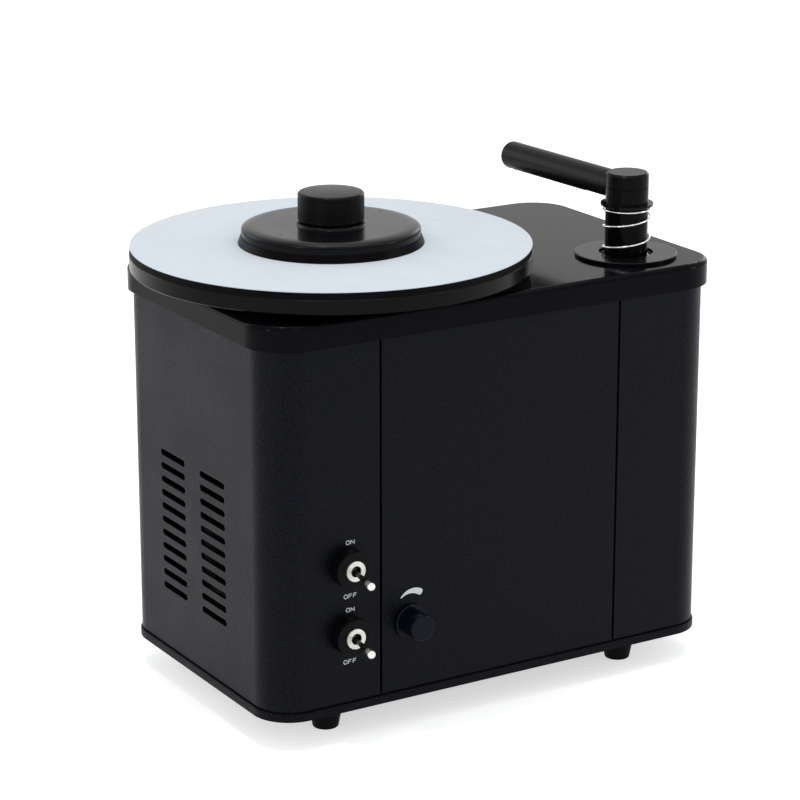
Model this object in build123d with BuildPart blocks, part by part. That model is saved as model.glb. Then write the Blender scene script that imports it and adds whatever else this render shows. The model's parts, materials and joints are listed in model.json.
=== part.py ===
"""Record cleaning machine: cabinet, platter drive, record clamp, suction arm, tank, vacuum and controls.

All sizes are in millimetres. +X points to the machine's right, +Y to its back and +Z up.
The origin is the centre of the base plate's underside, and the feet hang below it.
"""
import os
from math import cos, degrees, radians, sin

from build123d import *

os.makedirs("parts", exist_ok=True)

# ---------------------------------------------------------------- driving dimensions
# Fits
screw_fit = 0.05            # radial room round a screw, stud or pin
press_fit = 0.01            # radial room of a pressed or glued joint
running_fit = 0.04          # radial room of a turning or sliding joint
cut_past = 1.0              # cuts run on past a face by this much
face_play = 0.05            # axial room between faces that turn on each other
loose_gap = 0.3             # room between neighbours that only pass each other

# Cabinet
base_length = 312.0
base_depth = 190.0
base_corner = 24.0
base_thickness = 5.0
base_edge_round = 0.8
body_setback = 1.0          # the shells stand this far inside the base plate's edge
shadow_gap = 1.2            # dark line between the base plate and the shells
shadow_recess = 1.0
body_height = 217.4
shell_wall = 2.0
front_panel_width = 165.0
seam_gap = 1.5
seam_strip_width = 16.0
seam_strip_thickness = 3.0
top_overhang = 3.4
top_thickness = 15.2
top_edge_round = 3.0
post_inset = 14.0           # corner post's axis, in from the shell's outer face
corner_post_radius = 5.0
m5_radius = 2.5
m5_head_radius = 4.6
m5_head_height = 2.6
stud_length = 9.0

# Feet
foot_inset_x = 50.0
foot_inset_y = 27.5
foot_height = 18.5
foot_top_radius = 11.3
foot_bottom_radius = 7.7
foot_hole_depth = 11.0
foot_edge_round = 0.8
m4_radius = 2.0
m4_head_radius = 3.6
m4_head_height = 2.4

# Vents in the left side
vent_columns = 2
vent_rows = 11
vent_length = 30.8
vent_width = 4.0
vent_column_pitch = 50.2
vent_row_pitch = 8.5
vent_centre_y = 3.7
vent_centre_z = 87.8

# Platter, mat and bearing
platter_radius = 120.0
platter_thickness = 8.8
platter_gap = 5.5           # platter's underside above the top plate
platter_chamfer = 0.5
platter_recess_depth = 3.0
platter_recess_inner = 34.0
platter_rim_width = 9.0
mat_setback = 0.4
mat_backing_thickness = 4.0
mat_face_thickness = 0.4
mat_hole_radius = 5.0
spindle_radius = 6.0
record_pin_radius = 3.6
record_pin_height = 10.5
hub_radius = 22.0
hub_screw_circle = 15.0
hub_screw_count = 3
hub_screw_start = 90.0       # degrees from +X
bush_wall = 3.0
bush_length = 14.0
bush_flange_radius = 12.0
bush_flange_thickness = 1.2
thrust_washer_thickness = 0.5
housing_wall = 5.0
housing_flange_radius = 32.0
housing_flange_thickness = 6.0
housing_screw_circle = 24.0
housing_screw_count = 4
housing_drop = 35.0

# Platter drive
coupling_radius = 11.0
coupling_length = 24.0
coupling_grip = 10.0        # length of spindle inside the coupling
set_screw_radius = 1.5
set_screw_length = 4.0
drive_shaft_radius = 3.0
drive_shaft_seat = 9.0      # the gearbox's output shaft reaches this far into it
gearbox_radius = 18.5
gearbox_length = 28.0
gearbox_boss_radius = 6.0
gearbox_boss_height = 3.0
gearmotor_radius = 17.5
gearmotor_length = 30.0
gearmotor_cap_radius = 5.0
gearmotor_cap_height = 2.0
bracket_size = 66.0
bracket_thickness = 3.0
bracket_corner = 8.0
bracket_drop = 62.0         # bracket's upper face below the top plate
standoff_radius = 4.0
standoff_spacing = 54.0
gearbox_screw_circle = 15.5
gearbox_screw_count = 4
gearbox_screw_start = 45.0
gearbox_screw_hole = 7.0
m3_radius = 1.5
m3_head_radius = 2.7
m3_head_height = 1.6

# Record clamp
clamp_radius = 53.4
clamp_flat_radius = 46.0
clamp_height = 11.2
clamp_band_height = 8.6     # the groove round the rim is this high
clamp_groove = 0.5
clamp_hub_radius = 21.6
clamp_hub_height = 1.6
clamp_cove = 1.2
clamp_dimple_circle = 41.7
clamp_dimple_start = 15.0
clamp_dimple_radius = 0.7
seal_radius = 55.6
seal_height = 4.4
seal_inner_radius = 47.0
knob_radius = 19.9
knob_height = 17.9
knob_gap = 0.4
knob_chamfer = 1.0
collet_radius = 7.0
collet_slit_count = 3
collet_slit_radius = 0.5
collet_slit_depth = 7.0
knob_screw_radius = 5.0
knob_screw_length = 2.2

# Suction arm
arm_inset_x = 44.0          # post's axis, in from the top plate's right edge
arm_inset_y = 41.9          # and from its front edge
arm_park_angle = 93.0       # where the parked arm points, counter-clockwise from +X
arm_axis_height = 41.4      # tube's axis above the top plate
arm_length = 119.0
arm_tube_radius = 8.6
arm_tube_bore = 6.4
arm_flat_depth = 1.6        # flat along the tube's underside, where the velvet sits
arm_slot_width = 2.0
arm_slot_start = 38.0
arm_slot_end_margin = 8.0
arm_tube_start = 6.0
arm_cap_thickness = 3.0
arm_cap_plug = 5.0
arm_cap_round = 2.0
velvet_width = 2.2
velvet_thickness = 1.0
velvet_margin = 1.0         # strips run this far past the slot's ends
post_radius = 13.0
post_bore = 9.5
post_neck = 11.5
head_height = 18.9
head_base_height = 32.6     # head's lower face above the top plate
head_cap_height = 9.0
head_seam = 0.3
head_chamfer = 1.2
head_cavity_radius = 7.0
head_cavity_step = 2.0      # wider at the seam by this much
head_roof = 3.0
head_spigot_length = 14.0
collar_radius = 16.0
collar_lip = 1.4
collar_taper = 0.9
collar_foot_radius = 14.6
escutcheon_radius = 31.4
escutcheon_bore = 16.6
escutcheon_thickness = 2.0
escutcheon_round = 0.8
swivel_radius = 18.0
swivel_top_depth = 7.0      # swivel bush's upper face below the top plate's surface
sleeve_wall = 3.5
sleeve_drop = 45.0
sleeve_lip_height = 3.0
sleeve_lip_radius = 14.5
sleeve_flange_radius = 29.5
sleeve_flange_thickness = 6.0
sleeve_screw_circle = 25.4
sleeve_screw_count = 3
sleeve_screw_start = 150.0
key_width = 4.0
key_length = 20.0
key_depth = 1.4             # key's depth in the post
key_stand = 1.6             # key's height outside the post
key_drop = 24.0             # key's centre below the top plate's surface
stop_pin_radius = 1.6
stop_groove_depth = 2.0
stop_groove_drop = 44.0     # stop groove's centre below the top plate's surface
swing_back = 20.0           # degrees the arm swings outwards from its parked place
swing_in = 70.0             # degrees the arm swings inwards, over the platter
ring_thickness = 2.0
ring_radius = 16.4
ring_groove = 0.8
ring_drop = 0.2              # retaining ring's room under the sleeve
spring_wire = 1.2
spring_coil_gap = 0.05       # between the closed coils at the spring's ends
spring_start = 227.5         # azimuth where the open coils begin
spring_gap = 0.55           # room between the post and the spring
spring_pitch = 12.9

# Tank and drain
tank_seam_gap = 43.25        # tank's left side, in from the right-hand seam
tank_depth = 138.0
tank_height = 103.0
tank_wall = 2.5
tank_corner = 8.0
tank_side_gap = 21.0        # tank's side from the right shell's inner face
tank_front_gap = 14.0       # tank's front from the front panel's inner face
lid_thickness = 3.0
neck_height = 22.0
neck_wall = 3.5
neck_room = 0.5
seal_thickness = 3.0
post_lid_gap = 6.0          # post's lower end above the tank lid
barb_radius = 7.4
barb_bore = 5.5
barb_height = 8.0
barb_inset_x = 24.0         # barb's axis, in from the tank's left side
drain_radius = 6.0
drain_bore = 4.0
spigot_radius = 5.5         # drain's outer end, for a hose
drain_axis_height = 12.0    # drain's axis above the tank's underside
drain_reach = 15.0          # drain's length outside the rear panel
drain_inset = 22.0          # drain's axis, in from the tank's left side
drain_nut_radius = 9.5
drain_nut_thickness = 4.0
plug_length = 9.0
plug_head_radius = 5.0
plug_head_length = 3.0

# Vacuum
fan_radius = 46.0
fan_height = 34.0
fan_wall = 2.0
fan_cover_thickness = 2.5
fan_side_gap = 11.0         # fan housing from the left shell's inner face
fan_rear_gap = 7.0          # fan housing from the rear panel's inner face
vacuum_motor_radius = 32.0
vacuum_motor_length = 38.0
vacuum_shaft_radius = 3.0
vacuum_motor_bore = 12.0
vacuum_motor_lift = 8.0     # motor's lower face above the base plate's raised floor
vacuum_motor_round = 4.0
inlet_height = 16.0
impeller_radius = 40.0
impeller_plate = 1.6
impeller_height = 20.0
impeller_hub_radius = 8.0
impeller_hub_height = 10.0
impeller_eye_radius = 17.0
blade_count = 8
blade_thickness = 1.4
blade_length = 27.6
blade_lean = 40.0            # blades lean back by this angle from the radius
vacuum_ring_radius = 46.0
vacuum_ring_thickness = 3.0
vacuum_ring_room = 1.0
vacuum_leg_circle = 39.5
vacuum_leg_count = 3
vacuum_leg_start = 30.0
vacuum_leg_radius = 5.0
vacuum_pad_radius = 8.0
vacuum_pad_height = 6.0
hose_radius = 9.5
hose_wall = 2.05
hose_bend = 24.0
hose_margin = 1.0           # hose's straight end beyond the tank's barb

# Switches and speed control, on the front
switch_inset = 21.8         # switches' axis, in from the left shell's edge at the seam
switch_low_z = 48.5
switch_pitch = 41.5
boss_radius = 11.5
boss_length = 9.5
boss_round = 1.0
switch_bushing_radius = 4.6
switch_bushing_bore = 3.4
switch_nut_radius = 6.1
switch_nut_stand = 0.8
switch_body_width = 17.0
switch_body_height = 29.0
switch_body_depth = 20.0
terminal_width = 1.0
terminal_height = 5.0
terminal_length = 7.0
terminal_pitch = 9.0
lever_length = 17.5         # ball's centre in front of the boss
lever_pivot_depth = 4.0     # pivot behind the boss's front face
lever_pivot_radius = 3.1
lever_root_radius = 1.25
lever_neck_radius = 1.9
lever_ball_radius = 2.6
lever_tilt = 10.0           # degrees below level when off
speed_inset = 18.8          # knob's axis, in from the front panel's left edge
speed_z = 48.3
speed_skirt_radius = 10.6
speed_skirt_length = 2.4
speed_skirt_chamfer = 0.6
speed_cap_radius = 8.0
speed_length = 15.6         # cap's front face from the front panel
speed_panel_gap = 0.6
speed_round = 1.0
speed_recess_radius = 7.4
pot_nut_radius = 6.0
pot_nut_thickness = 2.0
pot_thread_radius = 3.8
pot_body_radius = 8.0
pot_body_depth = 10.0
pot_shaft_radius = 3.0
pot_shaft_length = 12.0
pot_shaft_seat = 5.0        # shaft's end behind the panel
pot_terminal_pitch = 4.0
pot_terminal_seat = 4       # terminals run this far into the body
pot_terminal_depth = 7.5

# Power and control board
board_length = 54.0
board_depth = 66.0
board_thickness = 1.6
board_x = -5.0
board_front_gap = 16.0
board_standoff_radius = 3.0
board_standoff_height = 8.0
board_hole_inset = 5.0
board_screw_hole = 6.0
capacitor_radius = 6.0
capacitor_height = 18.0
capacitor_offset = 14.0
capacitor_pitch = 16.0
relay_length = 13.0
relay_depth = 22.0
relay_height = 16.0
relay_offset = 12.0
connector_length = 24.0
connector_depth = 7.0
connector_height = 10.0
connector_offset = 24.0
transformer_length = 44.0
transformer_depth = 30.0
transformer_height = 38.0
transformer_rear_gap = 32.0
coil_stand = 7.0            # coil's overhang front and back of the core
core_leg = 7.0
inlet_x = -5.0
inlet_z = 42.0
inlet_flange_width = 50.0
inlet_flange_height = 24.0
inlet_flange_corner = 4.0
inlet_flange_thickness = 2.5
inlet_body_width = 27.0
inlet_body_height = 19.6
inlet_body_depth = 18.0
inlet_cavity_width = 24.0
inlet_cavity_height = 16.4
inlet_cavity_corner = 3.3
inlet_cavity_depth = 16.5
inlet_screw_spacing = 40.0
inlet_pin_width = 2.0
inlet_pin_height = 5.0
inlet_pin_length = 11.0
inlet_pin_spacing = 7.0
inlet_pin_rise = 2.5

# ---------------------------------------------------------------- places worked out from them
body_length = base_length - 2 * body_setback
body_depth = base_depth - 2 * body_setback
body_corner = base_corner - body_setback
body_z = base_thickness + shadow_gap
plate_z = body_z + body_height
surface = plate_z + top_thickness
top_length = body_length + 2 * top_overhang
top_depth = body_depth + 2 * top_overhang
top_corner = body_corner + top_overhang
inner_x = body_length / 2 - shell_wall
inner_y = body_depth / 2 - shell_wall
front_y = -body_depth / 2
seam_x = front_panel_width / 2 + seam_gap / 2
post_x = body_length / 2 - post_inset
post_y = body_depth / 2 - post_inset
foot_x = base_length / 2 - foot_inset_x
foot_y = base_depth / 2 - foot_inset_y

switch_x = -(front_panel_width / 2 + seam_gap + switch_inset)
speed_x = speed_inset - front_panel_width / 2

platter_x = -(top_length - top_depth) / 2
platter_y = 0.0
platter_z = surface + platter_gap
platter_top = platter_z + platter_thickness
mat_face_z = platter_top + mat_backing_thickness
mat_top = mat_face_z + mat_face_thickness
mat_radius = platter_radius - mat_setback
bush_radius = spindle_radius + bush_wall
housing_radius = bush_radius + housing_wall
housing_z = plate_z - housing_drop
hub_z = surface + bush_flange_thickness + thrust_washer_thickness + 2 * face_play
bracket_top = plate_z - bracket_drop
gearbox_top = bracket_top - bracket_thickness
gearbox_z = gearbox_top - gearbox_length
gearmotor_z = gearbox_z - gearmotor_length
coupling_z = bracket_top + loose_gap + m3_head_height
spindle_z = coupling_z + coupling_length - coupling_grip

arm_x = top_length / 2 - arm_inset_x
arm_y = arm_inset_y - top_depth / 2
arm_z = surface + arm_axis_height
head_z = surface + head_base_height
head_top = head_z + head_height
seam_z = head_top - head_cap_height
collar_top = head_z
collar_z = collar_top - collar_lip - collar_taper
swivel_top = surface - swivel_top_depth
sleeve_z = plate_z - sleeve_drop
sleeve_outer = swivel_radius + running_fit + sleeve_wall
swivel_z = sleeve_z + sleeve_lip_height + face_play
tank_z = body_z
lid_z = tank_z + tank_height
lid_top = lid_z + lid_thickness
post_z = lid_top + post_lid_gap
neck_radius = post_radius + neck_room
tank_left = seam_x - tank_seam_gap
tank_right = inner_x - tank_side_gap
tank_length = tank_right - tank_left
tank_x = (tank_left + tank_right) / 2
tank_y = -inner_y + tank_front_gap + tank_depth / 2
drain_x = tank_left + drain_inset
drain_z = tank_z + drain_axis_height

pad_top = body_z + vacuum_pad_height
vacuum_x = -inner_x + fan_side_gap + fan_radius
vacuum_y = inner_y - fan_rear_gap - fan_radius
vacuum_motor_z = body_z + vacuum_motor_lift
fan_z = vacuum_motor_z + vacuum_motor_length
fan_top = fan_z + fan_height
cover_top = fan_top + fan_cover_thickness
barb_x = tank_left + barb_inset_x
hose_level = lid_top + barb_height + hose_margin + hose_bend

rear_panel_y = body_depth / 2
transformer_y = inner_y - transformer_rear_gap - transformer_depth / 2
board_y = -inner_y + board_front_gap + board_depth / 2
board_z = body_z + board_standoff_height
board_top = board_z + board_thickness
board_hole_x = board_length / 2 - board_hole_inset
board_hole_y = board_depth / 2 - board_hole_inset

# ---------------------------------------------------------------- helpers
UP = (Align.CENTER, Align.CENTER, Align.MIN)
DOWN = (Align.CENTER, Align.CENTER, Align.MAX)


def save(part, name):
    """Name a finished piece and write its STEP file."""
    part.label = name
    export_step(part, f"parts/{name}.step")


def upright(x, y, angle=0.0):
    """Vertical sketch plane through the axis at x, y: local x is the radius, local y is height."""
    turn = radians(angle)
    return Plane(origin=(x, y, 0), x_dir=(cos(turn), sin(turn), 0), z_dir=(sin(turn), -cos(turn), 0))


def upright_axis(x, y):
    return Axis((x, y, 0), (0, 0, 1))


def around(x, y, circle, count, start=0.0):
    """Points on a circle about a vertical axis."""
    step = 360 / count
    turns = [radians(start + step * i) for i in range(count)]
    return [(x + circle * cos(turn), y + circle * sin(turn)) for turn in turns]


def corners(x, y, half_x, half_y):
    """The four corners of a rectangle about x, y."""
    return [(x + sx * half_x, y + sy * half_y) for sx in (-1, 1) for sy in (-1, 1)]


def at_height(points, z):
    return [(x, y, z) for x, y in points]


arm_line = Vector(cos(radians(arm_park_angle)), sin(radians(arm_park_angle)), 0)
platter_axis = upright_axis(platter_x, platter_y)
platter_plane = upright(platter_x, platter_y)
arm_axis = upright_axis(arm_x, arm_y)
arm_plane = upright(arm_x, arm_y)
foot_points = corners(0, 0, foot_x, foot_y)
post_points = corners(0, 0, post_x, post_y)
hub_points = around(platter_x, platter_y, hub_screw_circle, hub_screw_count, hub_screw_start)
housing_points = around(platter_x, platter_y, housing_screw_circle, housing_screw_count)
standoff_points = corners(platter_x, platter_y, standoff_spacing / 2, standoff_spacing / 2)
sleeve_points = around(arm_x, arm_y, sleeve_screw_circle, sleeve_screw_count, sleeve_screw_start)
gearbox_screw_points = around(
    platter_x, platter_y, gearbox_screw_circle, gearbox_screw_count, gearbox_screw_start
)
board_points = corners(board_x, board_y, board_hole_x, board_hole_y)

# ---------------------------------------------------------------- cabinet
with BuildPart() as base_plate:
    with BuildSketch(Plane.XY):
        RectangleRounded(base_length, base_depth, base_corner)
    extrude(amount=base_thickness)
    fillet(base_plate.edges().group_by(Axis.Z)[-1], base_edge_round)
    with BuildSketch(Plane.XY.offset(base_thickness)):
        recess = 2 * shadow_recess
        RectangleRounded(body_length - recess, body_depth - recess, body_corner - shadow_recess)
    extrude(amount=shadow_gap)
    with Locations(at_height(foot_points, 0)):
        Cylinder(m4_radius + screw_fit, body_z, align=UP, mode=Mode.SUBTRACT)
    with Locations(at_height(post_points, 0)):
        Cylinder(m5_radius + screw_fit, body_z, align=UP, mode=Mode.SUBTRACT)
        Cylinder(m5_head_radius + screw_fit, m5_head_height, align=UP, mode=Mode.SUBTRACT)
save(base_plate.part, "base_plate")

with BuildPart() as rubber_feet:
    with Locations(at_height(foot_points, 0)):
        Cone(foot_bottom_radius, foot_top_radius, foot_height, align=DOWN)
    fillet(rubber_feet.edges().group_by(Axis.Z)[0], foot_edge_round)
    with Locations(at_height(foot_points, 0)):
        Cylinder(m4_radius + screw_fit, foot_height, align=DOWN, mode=Mode.SUBTRACT)
    with Locations(at_height(foot_points, -foot_height)):
        Cylinder(m4_head_radius + screw_fit, foot_hole_depth, align=UP, mode=Mode.SUBTRACT)
save(rubber_feet.part, "rubber_feet")

with BuildPart() as corner_posts:
    with Locations(at_height(post_points, body_z)):
        Cylinder(corner_post_radius, body_height, align=UP)
        Cylinder(m5_radius + screw_fit, stud_length + cut_past, align=UP, mode=Mode.SUBTRACT)
    with Locations(at_height(post_points, plate_z)):
        Cylinder(m5_radius, stud_length, align=UP)
save(corner_posts.part, "corner_posts")

side_width = body_length / 2 - front_panel_width / 2 - seam_gap
side_centre = body_length / 2 - side_width / 2


def shell_profile(side):
    """Sketch of a side shell seen from above: a wall that wraps one end and both its corners."""
    with BuildSketch(Plane.XY.offset(body_z)) as profile:
        RectangleRounded(body_length, body_depth, body_corner)
        wall = 2 * shell_wall
        RectangleRounded(
            body_length - wall, body_depth - wall, body_corner - shell_wall, mode=Mode.SUBTRACT
        )
        with Locations((side * side_centre, 0)):
            Rectangle(side_width, body_depth, mode=Mode.INTERSECT)
    return profile.sketch


with BuildPart() as left_shell:
    extrude(shell_profile(-1), amount=body_height)
    vent_centre = (-body_length / 2, vent_centre_y, vent_centre_z)
    vent_face = Plane(origin=vent_centre, x_dir=(0, 1, 0), z_dir=(1, 0, 0))
    with BuildSketch(vent_face):
        with GridLocations(vent_column_pitch, vent_row_pitch, vent_columns, vent_rows):
            SlotOverall(vent_length, vent_width)
    extrude(amount=shell_wall, mode=Mode.SUBTRACT)
    with BuildSketch(Plane.XZ.offset(-front_y)):
        with Locations((switch_x, switch_low_z), (switch_x, switch_low_z + switch_pitch)):
            Circle(switch_bushing_radius + screw_fit)
    extrude(amount=-shell_wall, mode=Mode.SUBTRACT)
save(left_shell.part, "left_shell")

with BuildPart() as right_shell:
    extrude(shell_profile(1), amount=body_height)
save(right_shell.part, "right_shell")

with BuildPart() as front_panel:
    with BuildSketch(Plane.XY.offset(body_z)):
        with Locations((0, front_y + shell_wall / 2)):
            Rectangle(front_panel_width, shell_wall)
    extrude(amount=body_height)
    with BuildSketch(Plane.XZ.offset(-front_y)):
        with Locations((speed_x, speed_z)):
            Circle(pot_thread_radius + screw_fit)
    extrude(amount=-shell_wall, mode=Mode.SUBTRACT)
save(front_panel.part, "front_panel")

with BuildPart() as rear_panel:
    with BuildSketch(Plane.XY.offset(body_z)):
        with Locations((0, rear_panel_y - shell_wall / 2)):
            Rectangle(front_panel_width, shell_wall)
    extrude(amount=body_height)
    with BuildSketch(Plane.XZ.offset(-rear_panel_y)):
        with Locations((inlet_x, inlet_z)):
            Rectangle(inlet_body_width + 2 * screw_fit, inlet_body_height + 2 * screw_fit)
            with GridLocations(inlet_screw_spacing, 1, 2, 1):
                Circle(m3_radius + screw_fit)
        with Locations((drain_x, drain_z)):
            Circle(drain_radius + screw_fit)
    extrude(amount=shell_wall, mode=Mode.SUBTRACT)
save(rear_panel.part, "rear_panel")

with BuildPart() as seam_strips:
    with BuildSketch(Plane.XY.offset(body_z)):
        for seam_side in (-1, 1):
            with Locations((seam_side * seam_x, inner_y - seam_strip_thickness / 2)):
                Rectangle(seam_strip_width, seam_strip_thickness)
            with Locations((seam_side * seam_x, seam_strip_thickness / 2 - inner_y)):
                Rectangle(seam_strip_width, seam_strip_thickness)
    extrude(amount=body_height)
save(seam_strips.part, "seam_strips")

with BuildPart() as top_plate:
    with BuildSketch(Plane.XY.offset(plate_z)):
        RectangleRounded(top_length, top_depth, top_corner)
    extrude(amount=top_thickness)
    fillet(top_plate.edges().group_by(Axis.Z)[-1], top_edge_round)
    with Locations((platter_x, platter_y, plate_z)):
        Cylinder(housing_radius + screw_fit, top_thickness, align=UP, mode=Mode.SUBTRACT)
    with Locations((arm_x, arm_y, plate_z)):
        Cylinder(sleeve_outer + screw_fit, top_thickness, align=UP, mode=Mode.SUBTRACT)
    with Locations(at_height(post_points, plate_z)):
        Cylinder(m5_radius + screw_fit, stud_length + cut_past, align=UP, mode=Mode.SUBTRACT)
    with Locations(at_height(housing_points + standoff_points + sleeve_points, plate_z)):
        Cylinder(m4_radius + screw_fit, stud_length + cut_past, align=UP, mode=Mode.SUBTRACT)
save(top_plate.part, "top_plate")

# ---------------------------------------------------------------- platter and bearing
with BuildPart() as bearing_housing:
    with BuildSketch(platter_plane):
        with BuildLine():
            bore = bush_radius + press_fit
            Polyline(
                (bore, housing_z),
                (housing_radius, housing_z),
                (housing_radius, plate_z - housing_flange_thickness),
                (housing_flange_radius, plate_z - housing_flange_thickness),
                (housing_flange_radius, plate_z),
                (housing_radius, plate_z),
                (housing_radius, surface),
                (bore, surface),
                close=True,
            )
        make_face()
    revolve(axis=platter_axis)
    with Locations(at_height(housing_points, plate_z)):
        Cylinder(m4_radius + screw_fit, housing_flange_thickness, align=DOWN, mode=Mode.SUBTRACT)
save(bearing_housing.part, "bearing_housing")

with BuildPart() as bearing_bushes:
    with Locations((platter_x, platter_y, housing_z), (platter_x, platter_y, surface - bush_length)):
        Cylinder(bush_radius, bush_length, align=UP)
    with Locations((platter_x, platter_y, surface)):
        Cylinder(bush_flange_radius, bush_flange_thickness, align=UP)
    with Locations((platter_x, platter_y, housing_z)):
        bush_reach = surface + bush_flange_thickness - housing_z
        Cylinder(spindle_radius + running_fit, bush_reach, align=UP, mode=Mode.SUBTRACT)
    with BuildSketch(Plane.XY.offset(surface + bush_flange_thickness + face_play)):
        with Locations((platter_x, platter_y)):
            Circle(bush_flange_radius)
            Circle(spindle_radius + running_fit, mode=Mode.SUBTRACT)
    extrude(amount=thrust_washer_thickness)
save(bearing_bushes.part, "bearing_bushes")

with BuildPart() as spindle:
    with BuildSketch(platter_plane):
        with BuildLine():
            pin_top = mat_top + record_pin_height
            pin_chamfer = record_pin_radius / 3
            Polyline(
                (0, spindle_z),
                (spindle_radius, spindle_z),
                (spindle_radius, hub_z),
                (hub_radius, hub_z),
                (hub_radius, platter_z),
                (spindle_radius, platter_z),
                (spindle_radius, platter_top),
                (record_pin_radius, platter_top),
                (record_pin_radius, pin_top - pin_chamfer),
                (record_pin_radius - pin_chamfer, pin_top),
                (0, pin_top),
                close=True,
            )
        make_face()
    revolve(axis=platter_axis)
    hub_hole_depth = platter_z - hub_z
    with Locations(at_height(hub_points, platter_z)):
        Cylinder(m4_radius + screw_fit, hub_hole_depth, align=DOWN, mode=Mode.SUBTRACT)
save(spindle.part, "spindle")

with BuildPart() as platter:
    with BuildSketch(platter_plane):
        with BuildLine():
            recess_outer = platter_radius - platter_rim_width
            recess_z = platter_z + platter_recess_depth
            Polyline(
                (spindle_radius + screw_fit, platter_z),
                (platter_recess_inner, platter_z),
                (platter_recess_inner, recess_z),
                (recess_outer, recess_z),
                (recess_outer, platter_z),
                (platter_radius - platter_chamfer, platter_z),
                (platter_radius, platter_z + platter_chamfer),
                (platter_radius, platter_top - platter_chamfer),
                (platter_radius - platter_chamfer, platter_top),
                (spindle_radius + screw_fit, platter_top),
                close=True,
            )
        make_face()
    revolve(axis=platter_axis)
    with Locations(at_height(hub_points, platter_top)):
        CounterBoreHole(m4_radius + screw_fit, m4_head_radius + screw_fit, m4_head_height)
save(platter.part, "platter")

with BuildPart() as platter_screws:
    with Locations(at_height(hub_points, platter_top)):
        Cylinder(m4_head_radius, m4_head_height, align=DOWN)
    with Locations(at_height(hub_points, platter_top - m4_head_height)):
        Cylinder(m4_radius, platter_top - m4_head_height - hub_z, align=DOWN)
save(platter_screws.part, "platter_screws")

with BuildPart() as mat_backing:
    with Locations((platter_x, platter_y, platter_top)):
        Cylinder(mat_radius, mat_backing_thickness, align=UP)
        Cylinder(mat_hole_radius, mat_backing_thickness, align=UP, mode=Mode.SUBTRACT)
save(mat_backing.part, "mat_backing")

with BuildPart() as mat_face:
    with Locations((platter_x, platter_y, mat_face_z)):
        Cylinder(mat_radius, mat_face_thickness, align=UP)
        Cylinder(mat_hole_radius, mat_face_thickness, align=UP, mode=Mode.SUBTRACT)
save(mat_face.part, "mat_face")

# ---------------------------------------------------------------- platter drive
with BuildPart() as shaft_coupling:
    with Locations((platter_x, platter_y, coupling_z)):
        Cylinder(coupling_radius, coupling_length, align=UP)
        Cylinder(drive_shaft_radius + press_fit, coupling_length, align=UP, mode=Mode.SUBTRACT)
    with Locations((platter_x, platter_y, spindle_z)):
        Cylinder(spindle_radius + press_fit, coupling_grip, align=UP, mode=Mode.SUBTRACT)
    coupling_screw_heights = (spindle_z + coupling_grip / 2, (coupling_z + spindle_z) / 2)
    with BuildSketch(Plane.YZ.offset(platter_x)):
        with Locations([(platter_y, height) for height in coupling_screw_heights]):
            Circle(set_screw_radius + press_fit)
    extrude(amount=coupling_radius, mode=Mode.SUBTRACT)
    with BuildSketch(Plane.YZ.offset(platter_x + coupling_radius - set_screw_length)):
        with Locations([(platter_y, height) for height in coupling_screw_heights]):
            Circle(set_screw_radius)
    extrude(amount=set_screw_length)
    with Locations((platter_x, platter_y, gearbox_top - drive_shaft_seat)):
        shaft_reach = spindle_z - face_play - gearbox_top + drive_shaft_seat
        Cylinder(drive_shaft_radius, shaft_reach, align=UP)
save(shaft_coupling.part, "shaft_coupling")

with BuildPart() as gearbox:
    with Locations((platter_x, platter_y, gearbox_z)):
        Cylinder(gearbox_radius, gearbox_length, align=UP)
    with Locations((platter_x, platter_y, gearbox_top)):
        Cylinder(gearbox_boss_radius, gearbox_boss_height, align=UP)
    with Locations((platter_x, platter_y, gearbox_top + gearbox_boss_height)):
        bore_depth = drive_shaft_seat + gearbox_boss_height + face_play
        Cylinder(drive_shaft_radius + running_fit, bore_depth, align=DOWN, mode=Mode.SUBTRACT)
    with Locations(at_height(gearbox_screw_points, gearbox_top)):
        Cylinder(m3_radius + screw_fit, gearbox_screw_hole, align=DOWN, mode=Mode.SUBTRACT)
save(gearbox.part, "gearbox")

with BuildPart() as gearmotor:
    with Locations((platter_x, platter_y, gearmotor_z)):
        Cylinder(gearmotor_radius, gearmotor_length, align=UP)
        Cylinder(gearmotor_cap_radius, gearmotor_cap_height, align=DOWN)
    with Locations(
        (platter_x - gearmotor_radius / 2, platter_y, gearmotor_z),
        (platter_x + gearmotor_radius / 2, platter_y, gearmotor_z),
    ):
        Box(terminal_width, terminal_height, gearmotor_cap_height, align=DOWN)
save(gearmotor.part, "gearmotor")

with BuildPart() as motor_bracket:
    with BuildSketch(Plane.XY.offset(gearbox_top)):
        with Locations((platter_x, platter_y)):
            RectangleRounded(bracket_size, bracket_size, bracket_corner)
            Circle(gearbox_boss_radius + screw_fit, mode=Mode.SUBTRACT)
        with Locations(standoff_points):
            Circle(m4_radius + screw_fit, mode=Mode.SUBTRACT)
        with Locations(gearbox_screw_points):
            Circle(m3_radius + screw_fit, mode=Mode.SUBTRACT)
    extrude(amount=bracket_thickness)
save(motor_bracket.part, "motor_bracket")

with BuildPart() as standoffs:
    with Locations(at_height(standoff_points, bracket_top)):
        Cylinder(standoff_radius, bracket_drop, align=UP)
        Cylinder(m4_radius + screw_fit, stud_length + cut_past, align=UP, mode=Mode.SUBTRACT)
    with Locations(at_height(standoff_points, plate_z)):
        Cylinder(m4_radius, stud_length, align=UP)
    with Locations(at_height(board_points, body_z)):
        Cylinder(board_standoff_radius, board_standoff_height, align=UP)
    with Locations(at_height(board_points, board_z)):
        Cylinder(m3_radius + screw_fit, board_screw_hole, align=DOWN, mode=Mode.SUBTRACT)
save(standoffs.part, "standoffs")

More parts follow.
